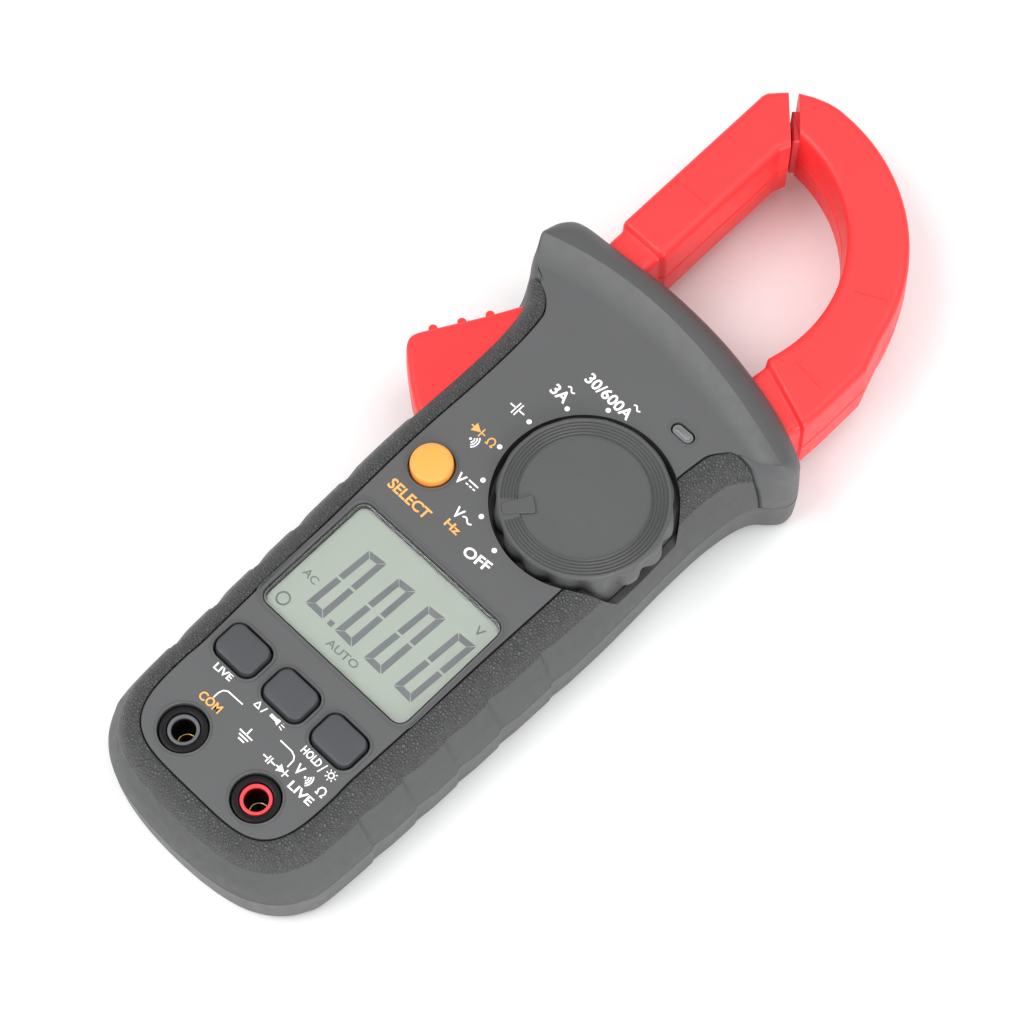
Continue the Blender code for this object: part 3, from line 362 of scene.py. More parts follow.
def quarter(steps):
    """Angles from nought to a right angle."""
    return [math.pi / 2 * k / steps for k in range(steps + 1)]


def box(name, low, high, look=None):
    outline = [(low[0], low[1]), (high[0], low[1]), (high[0], high[1]), (low[0], high[1])]
    return prism(name, outline, low[2], high[2], look)


def circle(centre, radius, count=96):
    turns = [2 * math.pi * i / count for i in range(count)]
    return [(centre[0] + radius * math.cos(a), centre[1] + radius * math.sin(a)) for a in turns]


def turned(name, centre, profile, look=None, count=96, smooth_angle=32.0):
    """A lathe solid from (radius, z) pairs listed from the bottom to the top."""
    return loft(name, [level(circle(centre, r, count), z) for r, z in profile], look, smooth_angle)


def arc(centre, radius, start, stop, steps):
    turns = [math.radians(start + (stop - start) * k / steps) for k in range(steps + 1)]
    return [(centre[0] + radius * math.cos(a), centre[1] + radius * math.sin(a)) for a in turns]


def rounded_rectangle(low, high, radius, steps=8):
    corners = (
        ((high[0] - radius, low[1] + radius), -90),
        ((high[0] - radius, high[1] - radius), 0),
        ((low[0] + radius, high[1] - radius), 90),
        ((low[0] + radius, low[1] + radius), 180),
    )
    outline = []
    for centre, start in corners:
        outline += arc(centre, radius, start, start + 90, steps)
    return outline


def rounded_polygon(points, radius, steps=6):
    """An anticlockwise polygon with each corner rounded by a curve that starts radius from it."""
    outline = []
    count = len(points)
    for i in range(count):
        before, here, after = (Vector(points[(i + k) % count]) for k in (-1, 0, 1))
        reach_in = min(radius, (before - here).length * 0.45)
        reach_out = min(radius, (after - here).length * 0.45)
        start = here + (before - here).normalized() * reach_in
        stop = here + (after - here).normalized() * reach_out
        for k in range(steps + 1):
            t = k / steps
            outline.append(tuple(start * (1 - t) ** 2 + here * (2 * t * (1 - t)) + stop * t * t))
    return outline


def inset(outline, distance):
    """Move an anticlockwise outline inwards, by one distance or one for each point."""
    points = np.array(outline, float)
    before = points - np.roll(points, 1, 0)
    after = np.roll(points, -1, 0) - points
    before /= np.linalg.norm(before, axis=1)[:, None]
    after /= np.linalg.norm(after, axis=1)[:, None]
    normal_a = np.stack([-before[:, 1], before[:, 0]], 1)
    normal_b = np.stack([-after[:, 1], after[:, 0]], 1)
    middle = normal_a + normal_b
    middle /= np.linalg.norm(middle, axis=1)[:, None]
    stretch = 1 / np.maximum((middle * normal_a).sum(1), 0.5)
    return [tuple(p) for p in points + middle * (stretch * np.asarray(distance))[:, None]]


def boolean(target, tool, operation="DIFFERENCE"):
    """Apply an exact Boolean and remove the tool."""
    step = target.modifiers.new("step", "BOOLEAN")
    step.operation = operation
    step.solver = "EXACT"
    step.object = tool
    graph = bpy.context.evaluated_depsgraph_get()
    mesh = bpy.data.meshes.new_from_object(target.evaluated_get(graph))
    target.modifiers.clear()
    old = target.data
    target.data = mesh
    bpy.data.meshes.remove(old)
    bpy.data.objects.remove(tool, do_unlink=True)
    return target


def cut(target, *tools):
    for tool in tools:
        boolean(target, tool)


def merge(name, objects):
    """Join several objects into one."""
    builder = bmesh.new()
    for item in objects:
        mesh = item.data
        mesh.transform(item.matrix_world)
        builder.from_mesh(mesh)
    kept = objects[0]
    materials = list(kept.data.materials)
    mesh = bpy.data.meshes.new(name)
    builder.to_mesh(mesh)
    builder.free()
    for slot in materials:
        mesh.materials.append(slot)
    for item in objects:
        bpy.data.objects.remove(item, do_unlink=True)
    made = bpy.data.objects.new(name, mesh)
    bpy.context.scene.collection.objects.link(made)
    return made


def dress(piece, look):
    """Give a piece one material."""
    piece.data.materials.clear()
    piece.data.materials.append(LOOKS[look])


def put(piece, body, stands_for=()):
    """Give a finished piece its body and hide the nodes that it stands for."""
    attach(piece, body)
    if stands_for:
        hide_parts(*stands_for)
    return piece


# ---- Case outline and surface ------------------------------------------------------
OUTLINE_POINTS = 900
OUTLINE_MARGIN = 0.04
SEARCH_STEPS = 40
PANEL_END_FAR = 20.0
GUARD_FAR = 30.0
CREST_LINE = (
    (-37.4, 63.6), (-32.7, 64.6), (-22.0, 67.6), (-8.8, 68.4), (6.1, 67.2), (19.4, 64.6), (33.3, 60.4),
)
FLARE_LINE = (
    (-36.0, 57.0), (-28.2, 59.0), (-16.6, 61.6), (-3.2, 62.0), (12.4, 60.2), (27.0, 57.6), (36.0, 55.5),
)
GUARD_CORNERS = {1: (59.2, 66.0), -1: (63.6, 70.0)}
CORNER_X = 33.0
CREST_RISE = 1.9
LIP_FOOT_Z = 23.7
NOTCHES = (-48.2, -36.8, -25.4, -14.0, 0.2)
NOTCH_DEPTH = 0.7
NOTCH_LENGTH = 4.6
BULGE = 1.0
GUARD_FOCUS_Y = 38.0
GRIP_END_LEFT = 56.6
GRIP_END_RIGHT = 56.4
GRIP_SKIN = 1.5
GROOVE_IN = 8.6
# Side wall as (share of its height, inset), and the shoulder band over it as (inset, z)
WALL_SHARES = ((0.0, 0.25), (0.03, 0.0), (0.3, 0.5), (0.6, 1.4), (0.88, 2.6), (0.97, 2.95))
BAND = (
    (3.1, 20.9), (3.35, 21.7), (3.65, 22.7), (4.05, 23.8), (4.62, 24.9), (5.4, 25.9), (6.4, 26.7),
    (7.4, 27.22), (8.05, 27.42), (8.35, 27.42), (8.52, 27.3), (8.6, 27.1),
)
GROOVE_WIDTH = 0.3
GROOVE_MIDDLE = GROOVE_IN + GROOVE_WIDTH / 2
PANEL_END = (20.5, 22.6)
PANEL_END_Y = -45.0
PANEL_END_POWER = 4.3
GROOVE_STEPS = 26
GUARD_START = 0.5
SIDE_REACH = 3.2
TRIGGER_LOW_Z, TRIGGER_HIGH_Z = 7.4, 20.0
PIVOT = (-20.5, 58.0)
PIVOT_BORE = 2.1
SCREWS = {
    "case_screw_lower_left": (-18.2, -50.0),
    "case_screw_lower_right": (18.2, -50.0),
    "case_screw_upper_left": (-7.0, 44.0),
    "case_screw_upper_right": (0.0, 60.0),
    "battery_door_screw": (0.0, -57.4),
}
WINDOW = ((-19.69, -31.14), (19.69, -2.07))
INDICATOR = ((13.2, 50.8), (18.2, 53.2))
REAR_ROUNDING = 3.1
DOOR = ((-14.2, -53.0), (14.2, -3.3))
DOOR_SCREW = SCREWS["battery_door_screw"]


def smoothstep(value, low, high):
    t = np.clip((np.asarray(value, float) - low) / (high - low), 0.0, 1.0)
    return t * t * (3 - 2 * t)


def smooth_closed(control, steps):
    """A closed Catmull-Rom curve through control points."""
    control = np.array(control, float)
    a, b, c, d = (np.roll(control, k, 0)[:, None, :] for k in (1, 0, -1, -2))
    t = (np.arange(steps) / steps)[None, :, None]
    curve = 2 * b + (c - a) * t + (2 * a - 5 * b + 4 * c - d) * t ** 2 + (3 * b - a - 3 * c + d) * t ** 3
    return (0.5 * curve).reshape(-1, 2)


def resample(points, count, closed=True):
    """The same curve with evenly spaced points."""
    loop = np.array(points, float)
    if closed:
        loop = np.vstack([loop, loop[:1]])
    lengths = np.concatenate([[0], np.cumsum(np.linalg.norm(np.diff(loop, axis=0), axis=1))])
    wanted = np.linspace(0, lengths[-1], count, endpoint=not closed)
    return np.stack([np.interp(wanted, lengths, loop[:, k]) for k in (0, 1)], 1)


def case_outline(steps):
    """The case at its parting line, anticlockwise from the bottom end."""
    side = [
        (0.0, -75.4), (9.0, -74.9), (17.0, -73.2), (22.8, -70.0), (26.6, -65.4), (28.4, -59.0),
        (29.4, -36.0), (30.0, -10.0), (30.6, 14.0), (30.2, 34.0), (30.6, 46.0), (32.4, 54.5),
    ]
    flange_right = [(36.0, 58.8), (37.6, 62.0), (35.6, 65.6)]
    flange_top = [(24.5, 70.4), (9.0, 74.1), (-7.0, 75.4), (-22.0, 74.6)]
    flange_left = [(-31.8, 74.0), (-35.4, 71.8), (-36.5, 67.6), (-35.0, 61.8), (-32.3, 54.5)]
    left = [(-x, y) for x, y in side[1:-1]][::-1]
    return smooth_closed(side + flange_right + flange_top + flange_left + left, steps)


def line_height(line, x):
    """Smooth y of a line across the hand guard."""
    xs, ys = zip(*line)
    return np.polyval(np.polyfit(xs, ys, 3), x)


def rise_at(spot):
    """Height of the concave flare above the panel."""
    crest = line_height(CREST_LINE, spot[:, 0])
    flare = line_height(FLARE_LINE, spot[:, 0])
    share = np.clip((spot[:, 1] - flare) / (crest - flare), 0, 1)
    return CREST_RISE * share ** 1.7


class Case:
    """The case surface: points round the outline, rays inwards from them, and rings along the rays."""

    def __init__(self):
        edge = resample(case_outline(24), OUTLINE_POINTS)
        tangent = np.roll(edge, -1, 0) - np.roll(edge, 1, 0)
        tangent /= np.linalg.norm(tangent, axis=1)[:, None]
        normal = np.stack([-tangent[:, 1], tangent[:, 0]], 1)
        self.edge = edge + normal * OUTLINE_MARGIN
        x, y = self.x, self.y = edge[:, 0], edge[:, 1]
        notch = np.zeros(len(y))
        for low in NOTCHES:
            step = smoothstep(y, low - 0.7, low + 0.5)
            notch = np.maximum(notch, step * np.clip(1 - (y - low) / NOTCH_LENGTH, 0, 1))
        self.notch = notch * (np.abs(x) > 25) * (y < 10)
        end = smoothstep(-y, 48, 62)
        guard = smoothstep(y, 54, 66)
        target_y = np.maximum(y, -48) + (GUARD_FOCUS_Y - y) * guard
        target = np.stack([x * (0.35 * end + 0.5 * guard), target_y], 1)
        ray = target - edge
        ray /= np.linalg.norm(ray, axis=1)[:, None]
        at_end = smoothstep(-y, 44, 50)[:, None]
        level_ray = ray / np.maximum((ray * normal).sum(1), 0.5 + 0.42 * guard)[:, None]
        self.ray = level_ray + (ray * self.end_reach(ray)[:, None] / GROOVE_MIDDLE - level_ray) * at_end
        self.flange = smoothstep(y, 51, 61)
        self.grip_end = np.where(x > 0, GRIP_END_RIGHT, GRIP_END_LEFT)
        self.open = smoothstep(y - self.grip_end, 0.15, 0.5)
        round_from = np.where(x > 0, 1.5, 2.4)
        end_in = np.where(x > 0, 6.0, 5.6)
        turn = np.clip((y - self.grip_end + round_from) / round_from, 0, 1)
        self.groove = end_in + (GROOVE_IN - end_in) * np.sqrt(1 - turn ** 2)
        self.beside_dial = BULGE * np.exp(-(((y - DIAL[1]) / 12.0) ** 2)) * (x > 0)
        self.front = smoothstep(y - line_height(CREST_LINE, x), -1.0, 3.0)
        self.crest = np.maximum(self.reach(CREST_LINE), 1.6)
        self.lifted = smoothstep(y - line_height(CREST_LINE, x), -4.5, 0.5)
        self.flare = 5.0 + (np.maximum(self.reach(FLARE_LINE), 5.0) - 5.0) * self.lifted
        self.corners = []
        for sign, (low_y, high_y) in GUARD_CORNERS.items():
            inside = np.where((x * sign > CORNER_X) & (y > low_y) & (y < high_y))[0]
            self.corners.append((inside[0], inside[-1]))

    def search(self, far, before):
        """Distance along each ray, up to a far limit, at which a test stops being true."""
        low = np.zeros(OUTLINE_POINTS)
        high = np.full(OUTLINE_POINTS, far)
        for _ in range(SEARCH_STEPS):
            half = (low + high) / 2
            short = before(half)
            low = np.where(short, half, low)
            high = np.where(short, high, half)
        return low

    def end_reach(self, ray):
        """Distance from the outline along a ray to the rounded lower end of the panel."""

        def outside(distance):
            spot = self.edge + ray * distance[:, None]
            x = np.abs(spot[:, 0]) / PANEL_END[0]
            y = np.maximum(PANEL_END_Y - spot[:, 1], 0) / PANEL_END[1]
            return x ** PANEL_END_POWER + y ** PANEL_END_POWER > 1

        return self.search(PANEL_END_FAR, outside)

    def along(self, distance):
        return self.edge + self.ray * np.broadcast_to(distance, self.x.shape)[:, None]

    def reach(self, line):
        """Distance along each ray to a line across the hand guard."""

        def beyond(distance):
            spot = self.along(distance)
            return spot[:, 1] > line_height(line, spot[:, 0])

        return self.search(GUARD_FAR, beyond)

    def ring(self, distance, z):
        spot = self.along(distance)
        return np.column_stack([spot, np.broadcast_to(z, len(spot))])

    def blend(self, body, flange):
        return body + (flange - body) * self.flange

    def outer_rings(self):
        """Outer surface of the front half, from the parting line up to the groove or the crest."""
        rings = []
        foot = PARTING_Z + GAP / 2
        top_z = self.blend(RIM_Z, LIP_FOOT_Z)
        for share, draft in WALL_SHARES:
            wall = draft - self.beside_dial * share + NOTCH_DEPTH * self.notch
            rings.append(self.ring(self.blend(wall, draft * 0.18), foot + (top_z - foot) * share))
        band_in = BAND[0][0]
        for k, (distance, z) in enumerate(BAND):
            share = k / (len(BAND) - 1)
            reach = band_in + (distance - band_in) * (self.groove - band_in) / (GROOVE_IN - band_in)
            body = reach - self.beside_dial * (1 - share) + NOTCH_DEPTH * self.notch * (1 - share) ** 2
            guard, guard_z = self.guard_point(share)
            spot = self.along(self.blend(body, guard))
            rings.append(np.column_stack([spot, self.blend(z, guard_z)]))
        return rings

    def under_rings(self, rings, depth, edge_in, edge_z):
        """The surface a depth under the given rings, ending in a vertical edge beside the groove."""
        steps = np.gradient(np.array(rings), axis=0)
        flat = np.linalg.norm(self.ray, axis=1)
        inwards = (steps[:, :, :2] * (self.ray / flat[:, None])).sum(2)
        length = np.hypot(inwards, steps[:, :, 2])
        made = []
        edge = self.along(edge_in)
        for k, ring in enumerate(rings):
            move_in = steps[k, :, 2] / length[k] * depth
            spot = ring[:, :2] + self.ray * move_in[:, None]
            z = ring[:, 2] - inwards[k] / length[k] * depth
            past = (((spot - edge) * self.ray).sum(1) > -0.05) | (k > len(rings) - 5)
            rank = (k - len(rings)) * 0.03
            spot = np.where(past[:, None], edge + self.ray * rank, spot)
            made.append(np.column_stack([spot, np.where(past, edge_z + rank, z)]))
        made[0][:, 2] = rings[0][:, 2]
        return made

    def guard_point(self, share):
        """Distance and height on the hand guard: a tall lip in front and a low edge at the sides."""
        bend = math.pi / 2 * share
        side = GUARD_START + SIDE_REACH * (1 - math.cos(bend))
        side_z = LIP_FOOT_Z + (PANEL_Z - LIP_FOOT_Z) * math.sin(bend)
        lip = GUARD_START + (self.crest - GUARD_START) * (0.35 * share + 0.65 * (1 - math.cos(bend)))
        climb = 0.28 * share + 0.72 * math.sin(bend)
        lip_z = LIP_FOOT_Z + (PANEL_Z + CREST_RISE - LIP_FOOT_Z) * climb
        distance = side + (lip - side) * self.front
        side_z = side_z + rise_at(self.along(self.blend(side, distance))) * share
        return distance, side_z + (lip_z - side_z) * self.front

    def straighten(self, spot, weight):
        """Draw the points at the guard's two corners onto straight lines, so that no ring folds."""
        for first, last in self.corners:
            share = np.linspace(0, 1, last - first + 1)[:, None]
            line = spot[first] + (spot[last] - spot[first]) * share
            spot[first:last + 1] += (line - spot[first:last + 1]) * weight
        return spot

    def panel_rings(self):
        """From the groove, or the crest of the guard, in to the flat panel."""
        side_start = GUARD_START + SIDE_REACH
        start = side_start + (self.crest - side_start) * self.front
        inner = self.groove + GROOVE_WIDTH
        profile = (
            (inner, PANEL_Z - 1.0),
            (inner, PANEL_Z - 0.25),
            (inner + 0.08, PANEL_Z - 0.08),
            (inner + 0.25, PANEL_Z),
        )
        rings = []
        for k in range(GROOVE_STEPS):
            share = (k + 1) / GROOVE_STEPS
            distance, z = profile[min(k, len(profile) - 1)]
            distance = distance + max(k - len(profile) + 1, 0) * 0.02
            spot = self.along(self.blend(distance, start + (self.flare - start) * share))
            spot = self.straighten(spot, 1 - (1 - share) ** 2)
            rise = rise_at(spot) * (1 - (1 - self.lifted) * share ** 2)
            rings.append(np.column_stack([spot, self.blend(z, PANEL_Z + rise)]))
        rings[-1][:, 2] = PANEL_Z
        return rings


case = Case()


def case_tool(*levels):
    """A tool that follows the case, from (z, body inset, guard inset) levels."""
    outline = case_outline(2)
    share = smoothstep(outline[:, 1], 50, 60)
    rings = [level(inset(outline, body + (guard - body) * share), z) for z, body, guard in levels]
    return loft("tool", rings)


def cylinder(centre, radius, low_z, high_z, count=96):
    return prism("tool", circle(centre, radius, count), low_z, high_z)


def tool_box(low, high):
    return box("tool", low, high)


def trigger_slot():
    return tool_box((-45, 19.0, TRIGGER_LOW_Z - 0.6), (-21, 52.6, TRIGGER_HIGH_Z + 0.6))


def limb_slot():
    outline = [(-30.4, 52.0), (-13.0, 52.0), (-13.0, 80.0), (-36.0, 80.0), (-34.6, 70.0), (-31.4, 60.0)]
    return prism("tool", outline, JAW_LOW_Z - GAP, JAW_TOP_Z + 0.4)


def hook_slot():
    outline = [(9.6, 50.0), (26.0, 50.0), (26.9, 56.6), (30.0, 61.7), (32.2, 71.0)]
    outline += [(32.2, 80.0), (9.6, 80.0)]
    return prism("tool", outline, JAW_LOW_Z - GAP, JAW_TOP_Z + GAP)


def torch_hole():
    made = cylinder((0, 0), 2.7, 66.0, 80.0, 48)
    turn = Matrix.Rotation(math.radians(-90), 4, "X")
    made.data.transform(Matrix.Translation((-2.0 * MM, 0, 18.0 * MM)) @ turn)
    return made


def key_outline(centre, grow):
    half = (5.15 + grow, 4.0 + grow)
    low = (centre[0] - half[0], centre[1] - half[1])
    high = (centre[0] + half[0], centre[1] + half[1])
    return rounded_rectangle(low, high, 2.3 + grow)


def grown(rectangle, grow, radius):
    (x0, y0), (x1, y1) = rectangle
    return rounded_rectangle((x0 - grow, y0 - grow), (x1 + grow, y1 + grow), radius)


def window_outline(grow, radius):
    return grown(WINDOW, grow, radius)


def indicator_outline(grow):
    return grown(INDICATOR, grow, 1.19 + grow)


def make_front():
    """Front shell: flat panel, flared hand guard and the wall under the grip."""
    outer = case.outer_rings()
    under = case.under_rings(outer, GRIP_SKIN + GAP, case.groove + GROOVE_WIDTH, PANEL_Z - 1.6)
    rings = []
    for over, below in zip(outer, under):
        rings.append(below + (over - below) * case.open[:, None])
    rings += case.panel_rings()
    shell = loft("panel_shell", rings, "case_plastic")
    cavity = case_tool(
        (PARTING_Z - 1.0, 3.4, 2.2), (RIM_Z, 6.0, 2.8), (23.4, 7.6, 3.4), (25.3, 10.6, 5.5),
    )
    cut(cavity, cylinder(DIAL, DIAL_WELL_RADIUS + 1.4, DIAL_FLOOR_Z - 0.9, 31.0))
    cut(shell, cavity)
    cut(shell, trigger_slot(), limb_slot(), hook_slot(), torch_hole())
    cut(shell, cylinder(DIAL, DIAL_WELL_RADIUS, DIAL_FLOOR_Z, 32.0, 240))
    cut(shell, cylinder(DIAL, 4.0, 20.0, 24.0))
    for centre in JACKS.values():
        cut(shell, cylinder(centre, 5.1, 20, 32))
    for centre in KEYS.values():
        cut(shell, prism("tool", key_outline(centre, GAP), 22, 32))
    cut(shell, cylinder(SELECT, 4.75, 22, 32))
    cut(shell, prism("tool", window_outline(0, 2.6), 26.1, 32))
    cut(shell, prism("tool", window_outline(-0.45, 2.2), 22, 32))
    cut(shell, prism("tool", indicator_outline(GAP), 23, 32))
    smooth(shell, 26)
    put(shell, "case", ["front_case"])


def make_grip():
    """Grip skin from the parting line over the shoulder to the groove, open at the hand guard."""
    keep = np.where(case.y < case.grip_end)[0]
    right = keep[keep < OUTLINE_POINTS // 2]
    left = keep[keep >= OUTLINE_POINTS // 2]
    order = np.concatenate([left, right])
    outer = case.outer_rings()
    inner = case.under_rings(outer, GRIP_SKIN, case.groove - 0.35, PANEL_Z - 1.4)
    loop = outer + inner[::-1]
    sections = [[ring[i] for ring in loop] for i in order]
    grip = loft("grip_skin", sections, "grip_rubber")
    cut(grip, trigger_slot(), cylinder(DIAL, DIAL_WELL_RADIUS, 18.0, 32.0, 240))
    smooth(grip, 28)
    put(grip, "case", ["grip_overmould"])


def make_rear():
    """Rear shell with a rounded back edge, the battery door opening and the screw recesses."""
    rings = []
    steps = 9
    for k in range(steps + 1):
        turn = math.pi / 2 * k / steps
        distance = 0.35 + (REAR_ROUNDING - 0.35) * (1 - math.sin(turn))
        wall = distance + NOTCH_DEPTH * case.notch * 0.6 * k / steps
        rings.append(case.ring(wall, REAR_ROUNDING * (1 - math.cos(turn))))
    for z, distance in ((6.0, 0.15), (PARTING_Z - 0.5, 0.0), (PARTING_Z - GAP / 2, 0.25)):
        rings.append(case.ring(distance + NOTCH_DEPTH * case.notch * 0.8, z))
    shell = loft("rear_shell", rings, "rear_plastic")
    cut(shell, case_tool((2.0, 4.0, 4.0), (4.0, 2.6, 2.6), (PARTING_Z + 1.0, 2.2, 2.2)))
    cut(shell, hook_slot())
    tray = tool_box((-15.0, -54.6, 1.0), (15.0, -1.8, 10.9))
    cut(tray, tool_box((-12.6, -53.3, 0.5), (12.6, -3.0, 15.0)))
    boolean(shell, tray, "UNION")
    for spot in SCREWS.values():
        boolean(shell, cylinder(spot, 3.0, 1.0, 10.5, 48), "UNION")
    boolean(shell, cylinder(PIVOT, 4.4, 1.0, JAW_LOW_Z - GAP, 48), "UNION")
    cut(shell, prism("tool", grown(DOOR, GAP, 2.3), -1.0, 2.1))
    cut(shell, tool_box((-4.5, -60.7, -1.0), (4.5, DOOR[0][1], 2.1)))
    cut(shell, trigger_slot(), limb_slot())
    for spot in SCREWS.values():
        cut(shell, cylinder(spot, 2.8, -1.0, 3.6, 48), cylinder(spot, 1.7, 3.0, 13.0, 32))
    cut(shell, cylinder(PIVOT, PIVOT_BORE, 1.6, 9.0, 48))
    for k in range(5):
        y = 12.0 + 4.5 * k
        cut(shell, prism("tool", rounded_rectangle((-14.0, y), (14.0, y + 1.1), 0.5), -1.0, 0.5))
    smooth(shell, 28)
    put(shell, "case", ["rear_case"])


def make_door():
    """Battery door with finger ribs, an arrow and the tongue that takes its screw."""
    outline = rounded_rectangle(*DOOR, 2.0)
    door = stepped("door_cover", outline, ((0.3, 0.05), (0.05, 0.3), (0.0, 1.7)), "rear_plastic")
    boolean(door, tool_box((-4.2, -60.4, 0.3), (4.2, DOOR[0][1] + 1.0, 1.69)), "UNION")
    cut(door, cylinder(DOOR_SCREW, 1.5, -1, 3, 48))
    for k in range(7):
        y = -46.0 + 1.9 * k
        half = 9.0 - 0.9 * k
        cut(door, prism("tool", rounded_rectangle((-half, y), (half, y + 0.8), 0.38), -1.0, 0.55))
    smooth(door, 28)
    put(door, "case", ["battery_door"])


def make_screws():
    """Screws with a domed head, a cross recess and a shank."""
    for name, spot in SCREWS.items():
        low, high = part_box(name)
        low_z, high_z = low.z / MM, high.z / MM
        head = min(2.3, (high.x - low.x) / 2 / MM)
        profile = [(0.6 * head, low_z), (0.86 * head, low_z + 0.12)]
        profile += [(head, low_z + 0.5), (head, low_z + 1.2)]
        profile += [(1.3, low_z + 1.25), (1.3, high_z - 0.6), (0.7, high_z)]
        screw = turned("fitted_" + name, spot, profile, "steel", 48)
        for half in ((1.45, 0.27), (0.27, 1.45)):
            low_corner = (spot[0] - half[0], spot[1] - half[1], low_z - 1)
            cut(screw, tool_box(low_corner, (spot[0] + half[0], spot[1] + half[1], low_z + 0.75)))
        smooth(screw, 30)
        put(screw, "case", [name])


# ---- Jaws --------------------------------------------------------------------------
HOOK_INNER = ((-16.3, 87.9), 32.35)
HOOK_OUTER = ((-12.6, 89.6), 42.15)
MITRE_OUTER = (-22.6, 128.6)
MITRE_INNER = (-14.46, 120.2)
NECK_DROP = 1.3
NECK_IN = 0.8
LOFT_ANGLE = 30
EDGE_RADIUS = 1.5
LEVER = (
    (-14.4, 56.0), (-17.0, 60.0), (-24.0, 60.0), (-29.4, 54.2), (-34.0, 45.6), (-38.8, 37.6),
    (-41.3, 33.4), (-41.5, 31.6), (-40.6, 29.9), (-38.0, 27.6), (-33.0, 23.7), (-28.0, 20.6),
    (-25.4, 21.6), (-23.4, 30.0), (-20.0, 42.0),
)
LEVER_STEP = 0.07
LEVER_RIDGES = ((-39.35, 36.7), (-36.2, 41.9), (-33.2, 47.1))
LEVER_ROUNDING = 1.3
TONGUE = ((-19.9, 125.85), (-14.75, 120.55))
TONGUE_THICKNESS = 1.45
JAW_MARKS = (
    ("hook_mark_1", "case", [(17.4, 101.5), (20.9, 103.3), (24.0, 104.8), (24.3, 103.8)]),
    ("hook_mark_2", "case", [(27.3, 80.6), (24.2, 80.9), (20.0, 81.4), (20.2, 82.3)]),
    ("limb_mark", "moving_jaw", [(-17.6, 95.2), (-21.4, 95.2), (-25.2, 95.2), (-25.2, 94.1)]),
)


def paired(left, right, counts):
    """Two sides of a limb as matching stations, from a list of two sections for each side.

    The third result is a weight for each station, which is 1 along the neck under the collar step.
    """
    sides = []
    for sections in (left, right):
        points = [resample(section, n, closed=False) for section, n in zip(sections, counts)]
        sides.append(np.vstack([points[0], points[1][1:]]))
    past_step = np.arange(len(sides[0])) - (counts[0] - 1)
    return sides[0], sides[1], smoothstep(past_step, -0.5, 1.5)


def limb_solid(name, left, right, levels, neck, look):
    """A limb swept through its stations.

    Levels are (inset, z, neck drop), and neck is a weight for each station.
    """
    span = right - left
    span /= np.linalg.norm(span, axis=1)[:, None]

    def inward(side, sign):
        tangent = np.gradient(side, axis=0)
        tangent /= np.linalg.norm(tangent, axis=1)[:, None]
        normal = np.stack([-tangent[:, 1], tangent[:, 0]], 1)
        facing = np.abs((normal * span).sum(1))
        return sign * span / np.maximum(facing, 0.45)[:, None]

    into_left, into_right = inward(left, 1), inward(right, -1)
    count = len(left)
    rings = []
    for move, z, drop in levels:
        distance = (move + NECK_IN * neck)[:, None]
        heights = z - drop * neck
        a = np.column_stack([left + into_left * distance, heights])
        b = np.column_stack([right + into_right * distance, heights])
        rings.append(np.vstack([a, b[::-1]]))
    vertices, faces = skin(rings, closed=False)
    size = 2 * count
    for base, turn in ((0, -1), ((len(rings) - 1) * size, 1)):
        for i in range(count - 1):
            quad = (base + i, base + i + 1, base + size - 2 - i, base + size - 1 - i)
            faces.append(quad[::turn])
    return make_object(name, vertices, faces, look, LOFT_ANGLE)


def jaw_levels(front):
    """Section of half a jaw from its parting face to its outer face."""
    direction = 1 if front else -1
    start = JAW_MID_Z + direction * GAP / 2
    outer = JAW_TOP_Z if front else JAW_LOW_Z
    drop = NECK_DROP * direction
    levels = [(0.28, start, 0), (0.03, start + direction * 0.3, 0)]
    levels.append((0.3, outer - direction * (EDGE_RADIUS + 1.0), drop))
    for turn in quarter(6):
        z = outer - direction * EDGE_RADIUS * (1 - math.sin(turn))
        levels.append((0.4 + EDGE_RADIUS * (1 - math.cos(turn)), z, drop))
    levels.append((2.6, outer, drop))
    return levels


def make_hook():
    """Fixed hook in two halves, with its collar step."""
    from_centre = np.array(MITRE_INNER) - np.array(HOOK_INNER[0])
    inner_angle = math.degrees(math.atan2(from_centre[1], from_centre[0]))
    inner_arc = arc(*HOOK_INNER, inner_angle, -16.0, 60)
    outer_arc = [MITRE_OUTER, (-19.6, 130.2), (-16.4, 131.3)] + arc(*HOOK_OUTER, 92, 12, 60)
    outer_arc += [(31.6, 90.0), (31.65, 78.0)]
    step_inner, step_outer = (14.6, 78.1), (31.3, 71.6)
    right = [inner_arc + [step_inner], [step_inner, (13.9, 73.0), (12.7, 66.0), (12.5, 50.5)]]
    outer_neck = [step_outer, (30.4, 67.0), (29.3, 62.0), (26.3, 56.8), (25.5, 50.5)]
    left = [outer_arc + [step_outer], outer_neck]
    left, right, neck = paired(left, right, (150, 40))
    room = arc(HOOK_INNER[0], HOOK_INNER[1] + 2.3, 80, -20, 40) + [(15.2, 66.0), (15.0, 50.0)]
    room += [(23.0, 50.0), (24.0, 57.5), (27.0, 63.0), (28.3, 71.0), (28.9, 78.0)]
    room += arc(HOOK_OUTER[0], HOOK_OUTER[1] - 2.6, -4, 90, 40)
    for side, front in (("front", True), ("rear", False)):
        half = limb_solid("hook_" + side, left, right, jaw_levels(front), neck, "jaw_plastic")
        cut(half, prism("tool", room, JAW_LOW_Z + 2.2, JAW_TOP_Z - 2.2))
        smooth(half, 30)
        put(half, "case", ["fixed_jaw_" + side])


